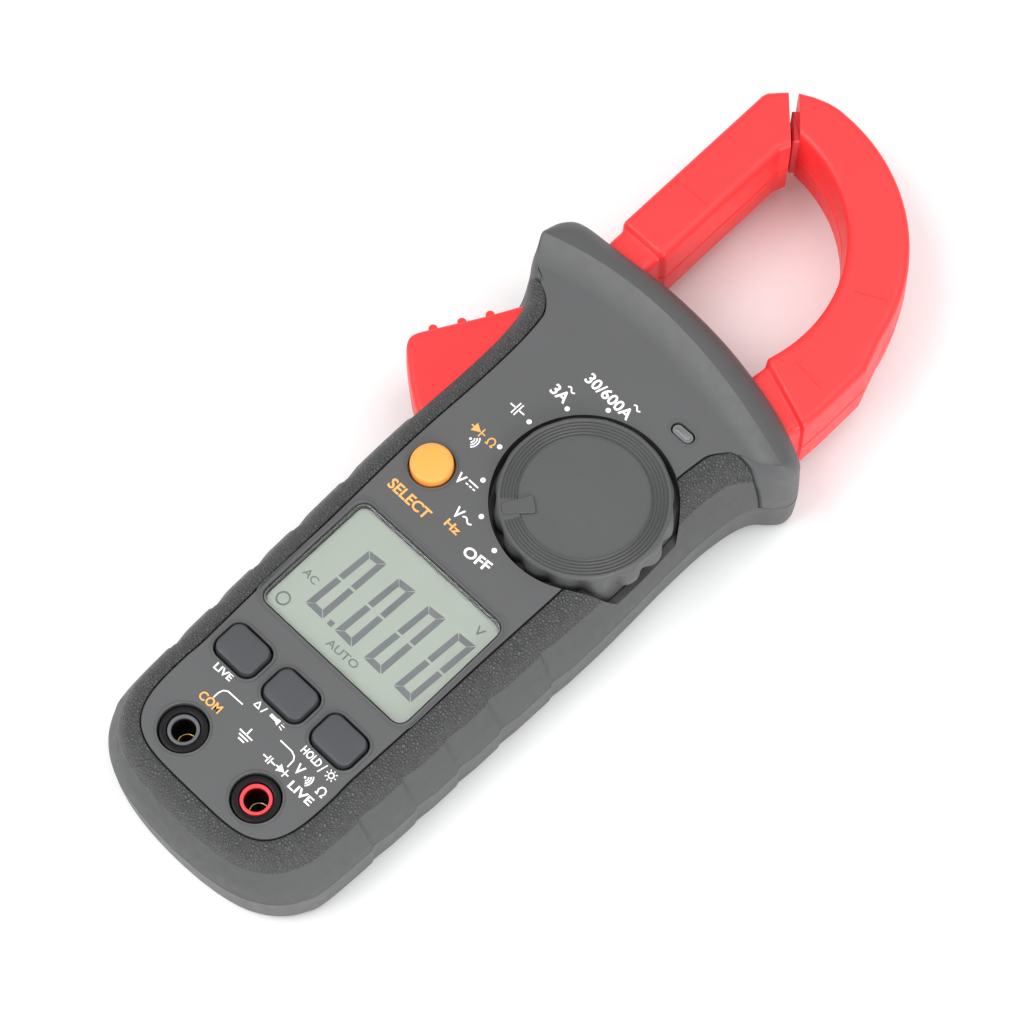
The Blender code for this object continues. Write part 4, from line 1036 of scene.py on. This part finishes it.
def make_limb():
    """Moving limb in two halves, each with its half of the finger lever."""
    left = [
        [(-24.3, 127.2), (-26.0, 125.4), (-27.3, 123.9), (-27.75, 122.6), (-27.75, 80.2)],
        [(-27.75, 80.2), (-27.75, 60.0), (-27.0, 54.0)],
    ]
    right = [
        [(-14.2, 117.0), (-15.1, 114.8), (-15.1, 80.2)],
        [(-15.1, 80.2), (-15.1, 64.0), (-14.6, 54.0)],
    ]
    left, right, neck = paired(left, right, (90, 40))
    outline = rounded_polygon(LEVER, 2.2, 9)
    for side, front in (("front", True), ("rear", False)):
        half = limb_solid("limb_" + side, right, left, jaw_levels(front), neck, "jaw_plastic")
        direction = 1 if front else -1
        start = JAW_MID_Z + direction * GAP / 2
        outer = TRIGGER_HIGH_Z if front else TRIGGER_LOW_Z
        levels = [(0.2, start + direction * LEVER_STEP), (0.02, start + direction * (LEVER_STEP + 0.25))]
        for turn in quarter(5):
            z = outer - direction * LEVER_ROUNDING * (1 - math.sin(turn))
            levels.append((0.2 + LEVER_ROUNDING * (1 - math.cos(turn)), z))
        lever = stepped("tool", outline, levels)
        for spot in LEVER_RIDGES:
            low, high = sorted((start + direction * (LEVER_STEP + 0.4), outer - direction * 1.2))
            boolean(lever, cylinder(spot, 0.95, low, high, 32), "UNION")
        boolean(half, lever, "UNION")
        room = [(-25.6, 66.0), (-17.3, 66.0), (-17.3, 116.4), (-24.0, 123.2), (-25.6, 121.6)]
        cut(half, prism("tool", room, JAW_LOW_Z + 2.0, JAW_TOP_Z - 2.2))
        cut(half, cylinder(PIVOT, PIVOT_BORE, 0, 30, 48))
        if not front:
            cut(half, cylinder(PIVOT, 6.2, 0, 9.6, 64), tool_box((-27.0, 36.0, 0), (-20.0, 56.0, 9.6)))
        smooth(half, 30)
        put(half, "moving_jaw", ["moving_jaw_" + side])


def make_tongue():
    """Interlocking tongue on the tip of the hook, just short of the moving limb."""
    outer, inner = (np.array(point) for point in TONGUE)
    along = (inner - outer) / np.linalg.norm(inner - outer)
    towards = np.array([along[1], -along[0]])
    towards = towards if towards[0] < 0 else -towards
    root, tip = towards * -0.6, towards * TONGUE_THICKNESS
    corners = [outer + root, inner + root, inner + tip, outer + tip]
    outline = rounded_polygon(anticlockwise([tuple(c) for c in corners]), 0.25, 4)
    levels = ((0.3, 7.0), (0.0, 7.3), (0.0, 20.2), (0.3, 20.5))
    tongue = stepped("tip_tongue", outline, levels, "tongue")
    put(tongue, "case")


def ribbon(points, width):
    """Outline of a stroke of constant width along an open line."""
    line = np.array(points, float)
    step = np.diff(line, axis=0)
    step /= np.linalg.norm(step, axis=1)[:, None]
    before, after = np.vstack([step[:1], step]), np.vstack([step, step[-1:]])
    middle = before + after
    middle /= np.linalg.norm(middle, axis=1)[:, None]
    side = np.stack([-middle[:, 1], middle[:, 0]], 1)
    reach = width / 2 / np.maximum((middle * before).sum(1), 0.4)
    left, right = line + side * reach[:, None], line - side * reach[:, None]
    return [tuple(p) for p in right] + [tuple(p) for p in left[::-1]]


def make_jaw_marks():
    """Raised centre lines that show where the conductor should lie."""
    for name, body, line in JAW_MARKS:
        mark = prism(name, ribbon(line, 0.5), JAW_TOP_Z - 0.3, JAW_TOP_Z + 0.16, "jaw_plastic")
        put(mark, body)


# ---- Controls on the panel ---------------------------------------------------------
DIAL_STEPS = 480
SCALLOPS = 16
POINTER = ((16.5, 1.15), (9.9, 1.95))
DIAL_FACE_Z = 29.6
DIAL_RIDGE_Z = 29.95
DIAL_GROOVES = 5
GROOVE_POINTS = 8
GROOVE_DEPTH = 0.3
GROOVE_OUTER, GROOVE_INNER = 16.65, 13.3
# Outer face of the dial as (radius, z, share of the scallops)
DIAL_SIDE = (
    (17.4, 22.8, 1.3), (17.9, 22.95, 1.3), (18.05, 23.4, 1.25), (17.95, 26.0, 1.1),
    (17.75, 28.0, 0.7), (17.6, 28.9, 0.3), (17.45, 29.4, 0.1), (17.2, 29.75, 0.0),
    (16.95, 29.93, 0.0), (16.75, DIAL_RIDGE_Z, 0.0),
)
KEY_TOP_Z = 28.9


def make_dial():
    """Dial: scalloped rim, fine concentric grooves that stop at the raised pointer."""
    turns = 2 * math.pi * np.arange(DIAL_STEPS) / DIAL_STEPS
    wave = 0.5 - 0.5 * np.cos(SCALLOPS * (turns - POINTER_ANGLE))
    scallop = np.clip(wave, 0, 1) ** 1.6
    away = np.abs((turns - POINTER_ANGLE + math.pi) % (2 * math.pi) - math.pi)
    shown = smoothstep(away, math.radians(7.5), math.radians(9.0))

    def dial_ring(radius, z):
        x = DIAL[0] + radius * np.cos(turns)
        y = DIAL[1] + radius * np.sin(turns)
        return np.column_stack([x, y, np.broadcast_to(z, DIAL_STEPS)])

    rings = [dial_ring(radius - share * scallop, z) for radius, z, share in DIAL_SIDE]
    pitch = (GROOVE_OUTER - GROOVE_INNER) / DIAL_GROOVES
    for k in range(DIAL_GROOVES * GROOVE_POINTS + 1):
        wave = math.sin(2 * math.pi * k / GROOVE_POINTS - math.pi / 2) * 0.5 + 0.5
        dip = GROOVE_DEPTH * max(wave, 0.0)
        rings.append(dial_ring(GROOVE_OUTER - pitch * k / GROOVE_POINTS, DIAL_RIDGE_Z - dip * shown))
    rings += [dial_ring(radius, DIAL_FACE_Z) for radius in (13.1, 8.0, 2.0)]
    dial = loft("dial_cap", rings, "dial_plastic", 30)
    along = np.array([math.cos(POINTER_ANGLE), math.sin(POINTER_ANGLE)])
    across = np.array([-along[1], along[0]])
    (far, far_half), (near, near_half) = POINTER
    corners = [along * near - across * near_half, along * far - across * far_half]
    corners += [along * far + across * far_half, along * near + across * near_half]
    corners = [tuple(np.array(DIAL) + corner) for corner in corners]
    outline = rounded_polygon(corners, 0.7, 6)
    top = inset(outline, 0.12)
    pointer = loft("tool", [level(outline, 29.0), level(outline, 30.1), level(top, 30.22)])
    boolean(dial, pointer, "UNION")
    cut(dial, cylinder(DIAL, 16.2, 20.0, 27.8, 96))
    smooth(dial, 30)
    put(dial, "dial", ["dial_knob"])


def button_levels(low_z, top_z, radius):
    levels = [(0.0, low_z)]
    for turn in quarter(6):
        levels.append((radius * (1 - math.cos(turn)), top_z - radius * (1 - math.sin(turn))))
    return levels


def make_keys():
    """Three rubber keys with rounded tops, and the round button."""
    for side, centre in KEYS.items():
        outline = key_outline(centre, 0.0)
        levels = [(0.0, 25.2), (0.05, PANEL_Z - 0.5)]
        levels += [(move + 0.3, z) for move, z in button_levels(PANEL_Z + 0.4, KEY_TOP_Z - 0.06, 0.45)]
        levels.append((2.0, KEY_TOP_Z))
        key = stepped("cap_key_" + side, outline, levels, "key_rubber")
        boolean(key, cylinder(centre, 1.6, 22.4, 25.4, 32), "UNION")
        smooth(key, 34)
        put(key, "key_" + side, ["key_" + side])
    profile = [(1.8, 22.9), (1.8, 24.2), (4.95, 24.2), (4.95, 25.2), (4.4, 25.25), (4.38, 28.7)]
    for turn in quarter(6)[1:]:
        profile.append((3.6 + 0.78 * math.cos(turn), 28.7 + 0.7 * math.sin(turn)))
    profile += [(3.2, 29.42), (2.6, 29.5), (1.4, 29.55), (0.3, 29.57)]
    button = turned("cap_select", SELECT, profile, "yellow_plastic")
    put(button, "select_button", ["select_button"])


def ring_solid(name, loops, look, angle=32):
    """A closed ring made by skinning loops and joining the last to the first."""
    vertices, faces = skin(list(loops) + [loops[0]], closed=False)
    count = len(loops[0])
    total = count * len(loops)
    faces = [tuple(index % total for index in face) for face in faces]
    return make_object(name, vertices[:total], faces, look, angle)


def turned_ring(name, centre, section, look=None, count=96, angle=32):
    """A ring round a centre, from the closed (radius, z) outline of its section."""
    rings = [level(circle(centre, radius, count), z) for radius, z in section]
    return ring_solid(name, rings, look, angle)


def bezel(name, outline, width, rise):
    """A fine raised rim whose inner edge is the outline."""
    foot, shoulder, top = PANEL_Z - 0.2, PANEL_Z + rise * 0.6, PANEL_Z + rise
    outer = inset(outline, -width)
    loops = [level(outline, foot), level(outer, foot), level(outer, shoulder)]
    loops += [level(inset(outline, -width * share), top) for share in (0.7, 0.25)]
    loops.append(level(outline, shoulder))
    rim = ring_solid(name, loops, "case_plastic", 28)
    put(rim, "case")


def make_bezels():
    for side, centre in KEYS.items():
        bezel("rim_key_" + side, key_outline(centre, GAP + 0.03), 0.55, 0.28)
    bezel("rim_window_inner", window_outline(0.03, 2.6), 0.5, 0.26)
    bezel("rim_window_outer", window_outline(1.0, 3.3), 0.22, 0.08)
    bezel("rim_select", circle(SELECT, 4.8), 0.5, 0.22)
    bezel("rim_indicator", indicator_outline(0.65), 0.3, 0.12)
    for side, centre in JACKS.items():
        bezel("rim_jack_" + side, circle(centre, 5.13), 0.42, 0.24)


def make_jacks():
    """Input jacks: insulating shroud, coloured collar ring and metal contact sleeve."""
    for side, centre in JACKS.items():
        ring_look = "ring_grey" if side == "common" else "ring_red"
        # Part, look and slot, outer and inner radius, top, edge rounding
        parts = (
            ("shroud", "black_plastic", 4.8, 3.35, 27.05, 0.3),
            ("ring", ring_look, 3.17, 2.44, 26.8, 0.22),
            ("contact", "brass", 2.1, 1.78, 19.0, 0.12),
        )
        for part, look, outer, inner, top, edge in parts:
            node = "jack_%s_%s" % (part, side)
            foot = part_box(node)[0].z / MM
            bevel, shoulder = edge * 0.3, top - edge * 0.3
            section = [(inner, foot), (outer, foot), (outer, top - edge), (outer - bevel, shoulder)]
            section += [(outer - edge, top), (inner + edge, top)]
            section += [(inner + bevel, shoulder), (inner, top - edge)]
            made = turned_ring("socket_%s_%s" % (part, side), centre, section, look, angle=35)
            put(made, "case", [node])


# ---- Display -----------------------------------------------------------------------
DIGITS = (
    ((-11.4, -8.8), (-6.9, -8.4), (-12.5, -25.2), (-7.6, -25.3)),
    ((-3.1, -8.9), (1.3, -8.5), (-4.3, -25.3), (0.6, -25.5)),
    ((5.1, -8.9), (9.5, -8.5), (3.8, -25.4), (8.7, -25.5)),
    ((13.2, -8.8), (17.8, -8.5), (12.0, -25.4), (16.8, -25.6)),
)
STROKE = 1.3
SEGMENT_GAP = 0.12
CELL_LIP_Z = 25.15
CELL_TOP_Z = 25.4
INK_TOP_Z = 25.46
DECIMAL_POINT = (-5.8, -25.3)


def digit_zero(corners):
    """The six lit segments of a nought, from its four outer corners."""
    top_left, top_right, low_left, low_right = (np.array(c) for c in corners)

    def spot(u, v):
        left = low_left + (top_left - low_left) * v
        right = low_right + (top_right - low_right) * v
        return left + (right - left) * u

    width = np.linalg.norm(top_right - top_left)
    height = np.linalg.norm(top_left - low_left)
    su, sv = STROKE / width, STROKE / height
    gu, gv = SEGMENT_GAP / width, SEGMENT_GAP / height
    shapes = []
    for v0, v1 in ((0.0, 0.5), (0.5, 1.0)):
        for u0, u1 in ((0.0, su), (1.0, 1.0 - su)):
            low_inner = v0 + (sv if v0 == 0 else gv * 2.2)
            low_outer = v0 + (gv if v0 == 0 else gv * 2.2)
            high_inner = v1 - (sv if v1 == 1 else gv * 2.2)
            high_outer = v1 - (gv if v1 == 1 else gv * 2.2)
            low_side = [spot(u0, low_outer), spot(u1, low_inner)]
            shapes.append(low_side + [spot(u1, high_inner), spot(u0, high_outer)])
    for v0, v1 in ((0.0, sv), (1.0, 1.0 - sv)):
        outer_side = [spot(gu * 1.6, v0), spot(1 - gu * 1.6, v0)]
        shapes.append(outer_side + [spot(1 - su - gu, v1), spot(su + gu, v1)])
    return shapes


def anticlockwise(outline):
    points = [tuple(p) for p in outline]
    area = sum(a[0] * b[1] - b[0] * a[1] for a, b in zip(points, points[1:] + points[:1]))
    return points if area > 0 else points[::-1]


def text_mesh(text, left, right, cap, low_z, high_z, bold):
    """Lettering fitted between two baseline points, with the given capital height."""
    curve = bpy.data.curves.new("text", "FONT")
    curve.body = text
    curve.extrude = 0.5
    curve.offset = bold
    curve.resolution_u = 3
    item = bpy.data.objects.new("text", curve)
    bpy.context.scene.collection.objects.link(item)
    graph = bpy.context.evaluated_depsgraph_get()
    mesh = bpy.data.meshes.new_from_object(item.evaluated_get(graph))
    bpy.data.objects.remove(item, do_unlink=True)
    points = np.array([v.co for v in mesh.vertices])
    low, high = points.min(0), points.max(0)
    left, right = np.array(left, float), np.array(right, float)
    along = right - left
    across = np.array([-along[1], along[0]]) / np.linalg.norm(along)
    share = (points - low) / (high - low)
    place = left + share[:, :1] * along + share[:, 1:2] * cap * across
    heights = low_z + share[:, 2] * (high_z - low_z)
    for vertex, spot, z in zip(mesh.vertices, place, heights):
        vertex.co = (spot[0] * MM, spot[1] * MM, z * MM)
    made = bpy.data.objects.new("text", mesh)
    bpy.context.scene.collection.objects.link(made)
    weld = bmesh.new()
    weld.from_mesh(mesh)
    bmesh.ops.remove_doubles(weld, verts=weld.verts, dist=0.000002)
    bmesh.ops.recalc_face_normals(weld, faces=weld.faces)
    weld.to_mesh(mesh)
    weld.free()
    return made


def make_display():
    """Display cell, its lit segments, and the window over it."""
    low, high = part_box("lcd_glass")
    cell_top = (high.x / MM, high.y / MM, CELL_TOP_Z - 0.1)
    cell = box("display_cell", tuple(value / MM for value in low), cell_top, "lcd_glass")
    boolean(cell, prism("tool", window_outline(-0.65, 2.0), CELL_LIP_Z, CELL_TOP_Z), "UNION")
    put(cell, "case", ["lcd_glass"])
    foot = CELL_TOP_Z - 0.1
    made = []
    for corners in DIGITS:
        for shape in digit_zero(corners):
            made.append(prism("segment", anticlockwise(shape), foot, INK_TOP_Z, "display_ink"))
    x, y = DECIMAL_POINT
    made.append(box("point", (x - 0.6, y - 0.1, foot), (x + 0.6, y + 1.1, INK_TOP_Z), "display_ink"))
    words = (
        ("AC", (-17.5, -21.3), (-13.9, -21.6), 1.7),
        ("AUTO", (-3.6, -28.6), (4.3, -28.4), 1.7),
        ("V", (15.0, -6.8), (17.0, -6.8), 1.9),
    )
    for text, left, right, cap in words:
        made.append(text_mesh(text, left, right, cap, foot, INK_TOP_Z, 0.01))
    section = ((1.15, foot), (1.5, foot), (1.5, INK_TOP_Z), (1.15, INK_TOP_Z))
    made.append(turned_ring("icon", (-16.2, -27.6), section, "display_ink", 48))
    put(merge("display_segments", made), "case")
    put(make_window(), "case", ["lcd_window"])


def make_window():
    outline = window_outline(-GAP, 2.3)
    rings = [level(outline, 26.3), level(outline, 27.2), level(inset(outline, 0.12), 27.3)]
    return loft("window_lens", rings, "clear_plastic")


# ---- Printed legends ---------------------------------------------------------------
PRINT_LOW_Z = PANEL_Z - 0.1
PRINT_TOP_Z = PANEL_Z + 0.03
DOT_ANGLES = (120.5, 143.5, 166.3, 188.8, 211.1, 233.1, 254.7)
DOT_CIRCLE = 20.5
SUN = (17.0, -46.9)
OMEGA = (
    (-0.95, -0.75), (-0.45, -0.75), (-0.8, 0.1), (-0.55, 0.75), (0.0, 0.98),
    (0.55, 0.75), (0.8, 0.1), (0.45, -0.75), (0.95, -0.75),
)


def stroke(points, width=0.32):
    return prism("stroke", anticlockwise(ribbon(points, width)), PRINT_LOW_Z, PRINT_TOP_Z)


def label(text, left, right, cap, bold=0.022):
    return text_mesh(text, left, right, cap, PRINT_LOW_Z, PRINT_TOP_Z, bold)


def disc(centre, radius, count=24):
    return prism("disc", circle(centre, radius, count), PRINT_LOW_Z, PRINT_TOP_Z)


def hoop(centre, radius, width):
    inner, outer = radius - width / 2, radius + width / 2
    section = ((inner, PRINT_LOW_Z), (outer, PRINT_LOW_Z), (outer, PRINT_TOP_Z), (inner, PRINT_TOP_Z))
    return turned_ring("hoop", centre, section, count=36)


def tilde(left, right, rise=0.35):
    left, right = np.array(left, float), np.array(right, float)
    along = right - left
    across = np.array([-along[1], along[0]]) / np.linalg.norm(along)
    points = []
    for t in np.linspace(0, 1, 15):
        points.append(left + along * t + across * rise * math.sin(2 * math.pi * t))
    return stroke(points)


def capacitor(centre, reach, plate=1.0, gap=0.7, width=0.3):
    x, y = centre
    return [
        stroke([(x - reach, y), (x - gap / 2, y)], width),
        stroke([(x + gap / 2, y), (x + reach, y)], width),
        stroke([(x - gap / 2, y - plate), (x - gap / 2, y + plate)], width),
        stroke([(x + gap / 2, y - plate), (x + gap / 2, y + plate)], width),
    ]


def diode(centre, reach, height=0.65, width=0.28):
    x, y = centre
    triangle = [(x - height, y - height), (x + height * 0.8, y), (x - height, y + height)]
    bar = x + height * 0.8 + width / 2
    return [
        stroke([(x - reach, y), (x - height, y)], width),
        prism("triangle", triangle, PRINT_LOW_Z, PRINT_TOP_Z),
        stroke([(bar, y - height), (bar, y + height)], width),
        stroke([(bar + width / 2, y), (x + reach + width, y)], width),
    ]


def sound(centre, size, width=0.28):
    """Continuity symbol: a dot and three arcs."""
    made = [disc(centre, size * 0.16)]
    for k in (0.45, 0.75, 1.05):
        made.append(stroke(arc(centre, size * k, -48, 48, 10), width))
    return made


def make_legends():
    """All markings on the panel, in white and in orange."""
    white = []
    for angle in DOT_ANGLES:
        turn = math.radians(angle)
        x, y = DIAL[0] + DOT_CIRCLE * math.cos(turn), DIAL[1] + DOT_CIRCLE * math.sin(turn)
        white.append(disc((x, y), 0.55))
    white += [label("V", (-5.0, 7.4), (-3.1, 7.4), 2.4), tilde((-2.9, 8.6), (-0.4, 8.6))]
    white += [label("OFF", (2.4, 2.8), (8.7, 3.3), 2.35)]
    white += [label("V", (-9.9, 13.0), (-8.0, 13.0), 2.3), stroke([(-7.5, 15.1), (-5.0, 15.1)])]
    white += [stroke([(-7.5 + 0.93 * k, 14.2), (-6.9 + 0.93 * k, 14.2)]) for k in range(3)]
    white += capacitor((-11.5, 32.8), 1.9, 1.45)
    white += sound((-13.6, 21.7), 1.75)
    white += [label("3A", (-9.8, 40.0), (-5.7, 39.9), 2.55), tilde((-7.7, 43.4), (-5.7, 43.3))]
    white += [label("30/600A", (-6.5, 46.6), (5.8, 46.0), 2.6), tilde((4.5, 49.6), (6.4, 49.5))]
    white += [label("LIVE", (-15.0, -47.5), (-10.6, -47.3), 1.5)]
    white += [label("HOLD", (9.2, -47.6), (14.0, -47.7), 1.7)]
    white += [stroke([(14.5, -48.2), (15.1, -45.8)], 0.25), hoop(SUN, 0.55, 0.25)]
    for k in range(8):
        turn = math.pi / 4 * k
        ray = [(SUN[0] + r * math.cos(turn), SUN[1] + r * math.sin(turn)) for r in (0.85, 1.25)]
        white.append(stroke(ray, 0.2))
    white += [stroke([(-3.9, -47.2), (-3.3, -45.9), (-2.6, -47.2), (-3.9, -47.2)], 0.25)]
    white += [stroke([(-1.9, -47.4), (-1.2, -45.4)], 0.25)]
    torch = [(-0.1, -46.75), (1.5, -46.75), (2.3, -47.2), (2.3, -45.6), (1.5, -46.05), (-0.1, -46.05)]
    white += [prism("torch", torch, PRINT_LOW_Z, PRINT_TOP_Z)]
    white += [stroke([(2.8, -46.4 + 0.5 * k), (3.7, -46.4 + 0.75 * k)], 0.2) for k in (-1, 0, 1)]
    white += [stroke([(-0.5, -50.9), (-0.45, -52.5)]), stroke([(-2.2, -52.5), (1.2, -52.5)])]
    white += [stroke([(-1.7, -53.2), (0.8, -53.2)]), stroke([(-1.2, -53.9), (0.4, -53.9)])]
    common_line = [(-10.45, -51.6), (-10.45, -50.3), (-10.1, -49.3), (-9.3, -48.8), (-5.4, -48.7)]
    signal_line = [(5.0, -48.7), (8.1, -48.7), (9.2, -49.1), (9.7, -49.8), (9.8, -51.5)]
    white += [stroke(common_line, 0.28), stroke(signal_line, 0.28)]
    white += capacitor((6.3, -52.9), 1.6, 0.8, 0.6) + diode((9.5, -52.7), 1.5, 0.9)
    white += [label("V", (10.9, -51.3), (12.7, -51.3), 2.1)] + sound((13.7, -50.6), 1.55)
    white += [label("LIVE", (12.5, -54.3), (18.3, -54.2), 1.75)]
    orange = [label("Hz", (-4.5, 4.8), (-0.9, 4.8), 1.8)]
    orange += [label("SELECT", (-18.4, 2.9), (-7.7, 2.8), 2.4)]
    orange += [label("COM", (-12.8, -53.7), (-7.5, -53.5), 1.9)]
    orange += diode((-13.9, 24.1), 1.7, 1.05)
    orange += [stroke([(-10.1 + x, 23.9 + y) for x, y in OMEGA], 0.3)]
    white += [stroke([(18.0 + x, -50.5 + y) for x, y in OMEGA], 0.3)]
    for name, made in (("print_white", white), ("print_orange", orange)):
        piece = merge("panel_" + name, made)
        dress(piece, name)
        put(piece, "case")


def make_indicator():
    """Small lens that lights for a live wire."""
    outline = indicator_outline(-0.02)
    low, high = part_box("indicator_lens")
    top = min(high.z / MM, 27.6)
    levels = [(0.0, low.z / MM), (0.0, top - 0.5), (0.12, top - 0.3)]
    levels += [(0.55, top - 0.3), (0.62, top - 0.08), (0.8, top)]
    lens = stepped("indicator_cap", outline, levels, "indicator")
    put(lens, "case", ["indicator_lens"])


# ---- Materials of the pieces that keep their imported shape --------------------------
def finish_inner():
    """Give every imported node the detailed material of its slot, read from its own material's name."""
    looks = {}
    for name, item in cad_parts.items():
        used = item.data.materials[0].name if item.data.materials else ""
        looks[name] = next((slot for slot in LOOKS if used.startswith(slot)), "black_plastic")
    for name, look in looks.items():
        dress(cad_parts[name], look)


# ---- Studio ------------------------------------------------------------------------
TARGET = (3.363, 16.088, 27.5)
DISTANCE = 647.854
AZIMUTH = 44.381
ELEVATION = 66.546
LENS = 116.0
WORLD_STRENGTH = 0.62


def back_vector(azimuth, elevation):
    a, e = math.radians(azimuth), math.radians(elevation)
    return Vector((math.sin(a) * math.cos(e), -math.cos(a) * math.cos(e), math.sin(e)))


def area_light(name, azimuth, elevation, distance, size, power):
    data = bpy.data.lights.new(name, "AREA")
    data.shape = "RECTANGLE"
    data.size, data.size_y = size
    data.energy = power
    item = bpy.data.objects.new(name, data)
    bpy.context.scene.collection.objects.link(item)
    back = back_vector(azimuth, elevation)
    item.location = Vector(TARGET) * MM + back * distance
    item.rotation_euler = back.to_track_quat("Z", "Y").to_euler()


def make_studio():
    floor = box("floor", (-4000, -4000, -1.0), (4000, 4000, -0.02))
    look = Look("floor_look", (0.86, 0.865, 0.87), 0.6)
    look.tint(look.noise(12.0), 0.985, 1.0)
    look.vary_roughness(look.noise(60.0), 0.55, 0.7)
    look.bump(look.noise(900.0), 0.08, 0.02)
    floor.data.materials.append(look.material)
    world = bpy.data.worlds.new("studio")
    bpy.context.scene.world = world
    world.use_nodes = True
    background = world.node_tree.nodes["Background"]
    background.inputs["Color"].default_value = (1, 1, 1, 1)
    background.inputs["Strength"].default_value = WORLD_STRENGTH
    area_light("key", -35, 55, 1.3, (0.9, 0.9), 12.0)
    area_light("side", 70, 22, 1.1, (0.9, 0.5), 9.0)
    area_light("top", 160, 65, 1.2, (0.8, 0.8), 4.0)
    camera = bpy.data.objects.new("camera", bpy.data.cameras.new("camera"))
    bpy.context.scene.collection.objects.link(camera)
    camera.data.lens = LENS
    camera.data.sensor_width = 36.0
    camera.data.clip_start = 0.05
    back = back_vector(AZIMUTH, ELEVATION)
    camera.location = Vector(TARGET) * MM + back * DISTANCE * MM
    camera.rotation_euler = back.to_track_quat("Z", "Y").to_euler()
    bpy.context.scene.camera = camera
    bpy.context.scene.view_settings.view_transform = "Standard"


def main():
    finish_inner()
    make_front()
    make_grip()
    make_rear()
    make_door()
    make_screws()
    make_hook()
    make_limb()
    make_jaw_marks()
    make_tongue()
    make_dial()
    make_keys()
    make_bezels()
    make_jacks()
    make_display()
    make_legends()
    make_indicator()
    make_studio()


main()
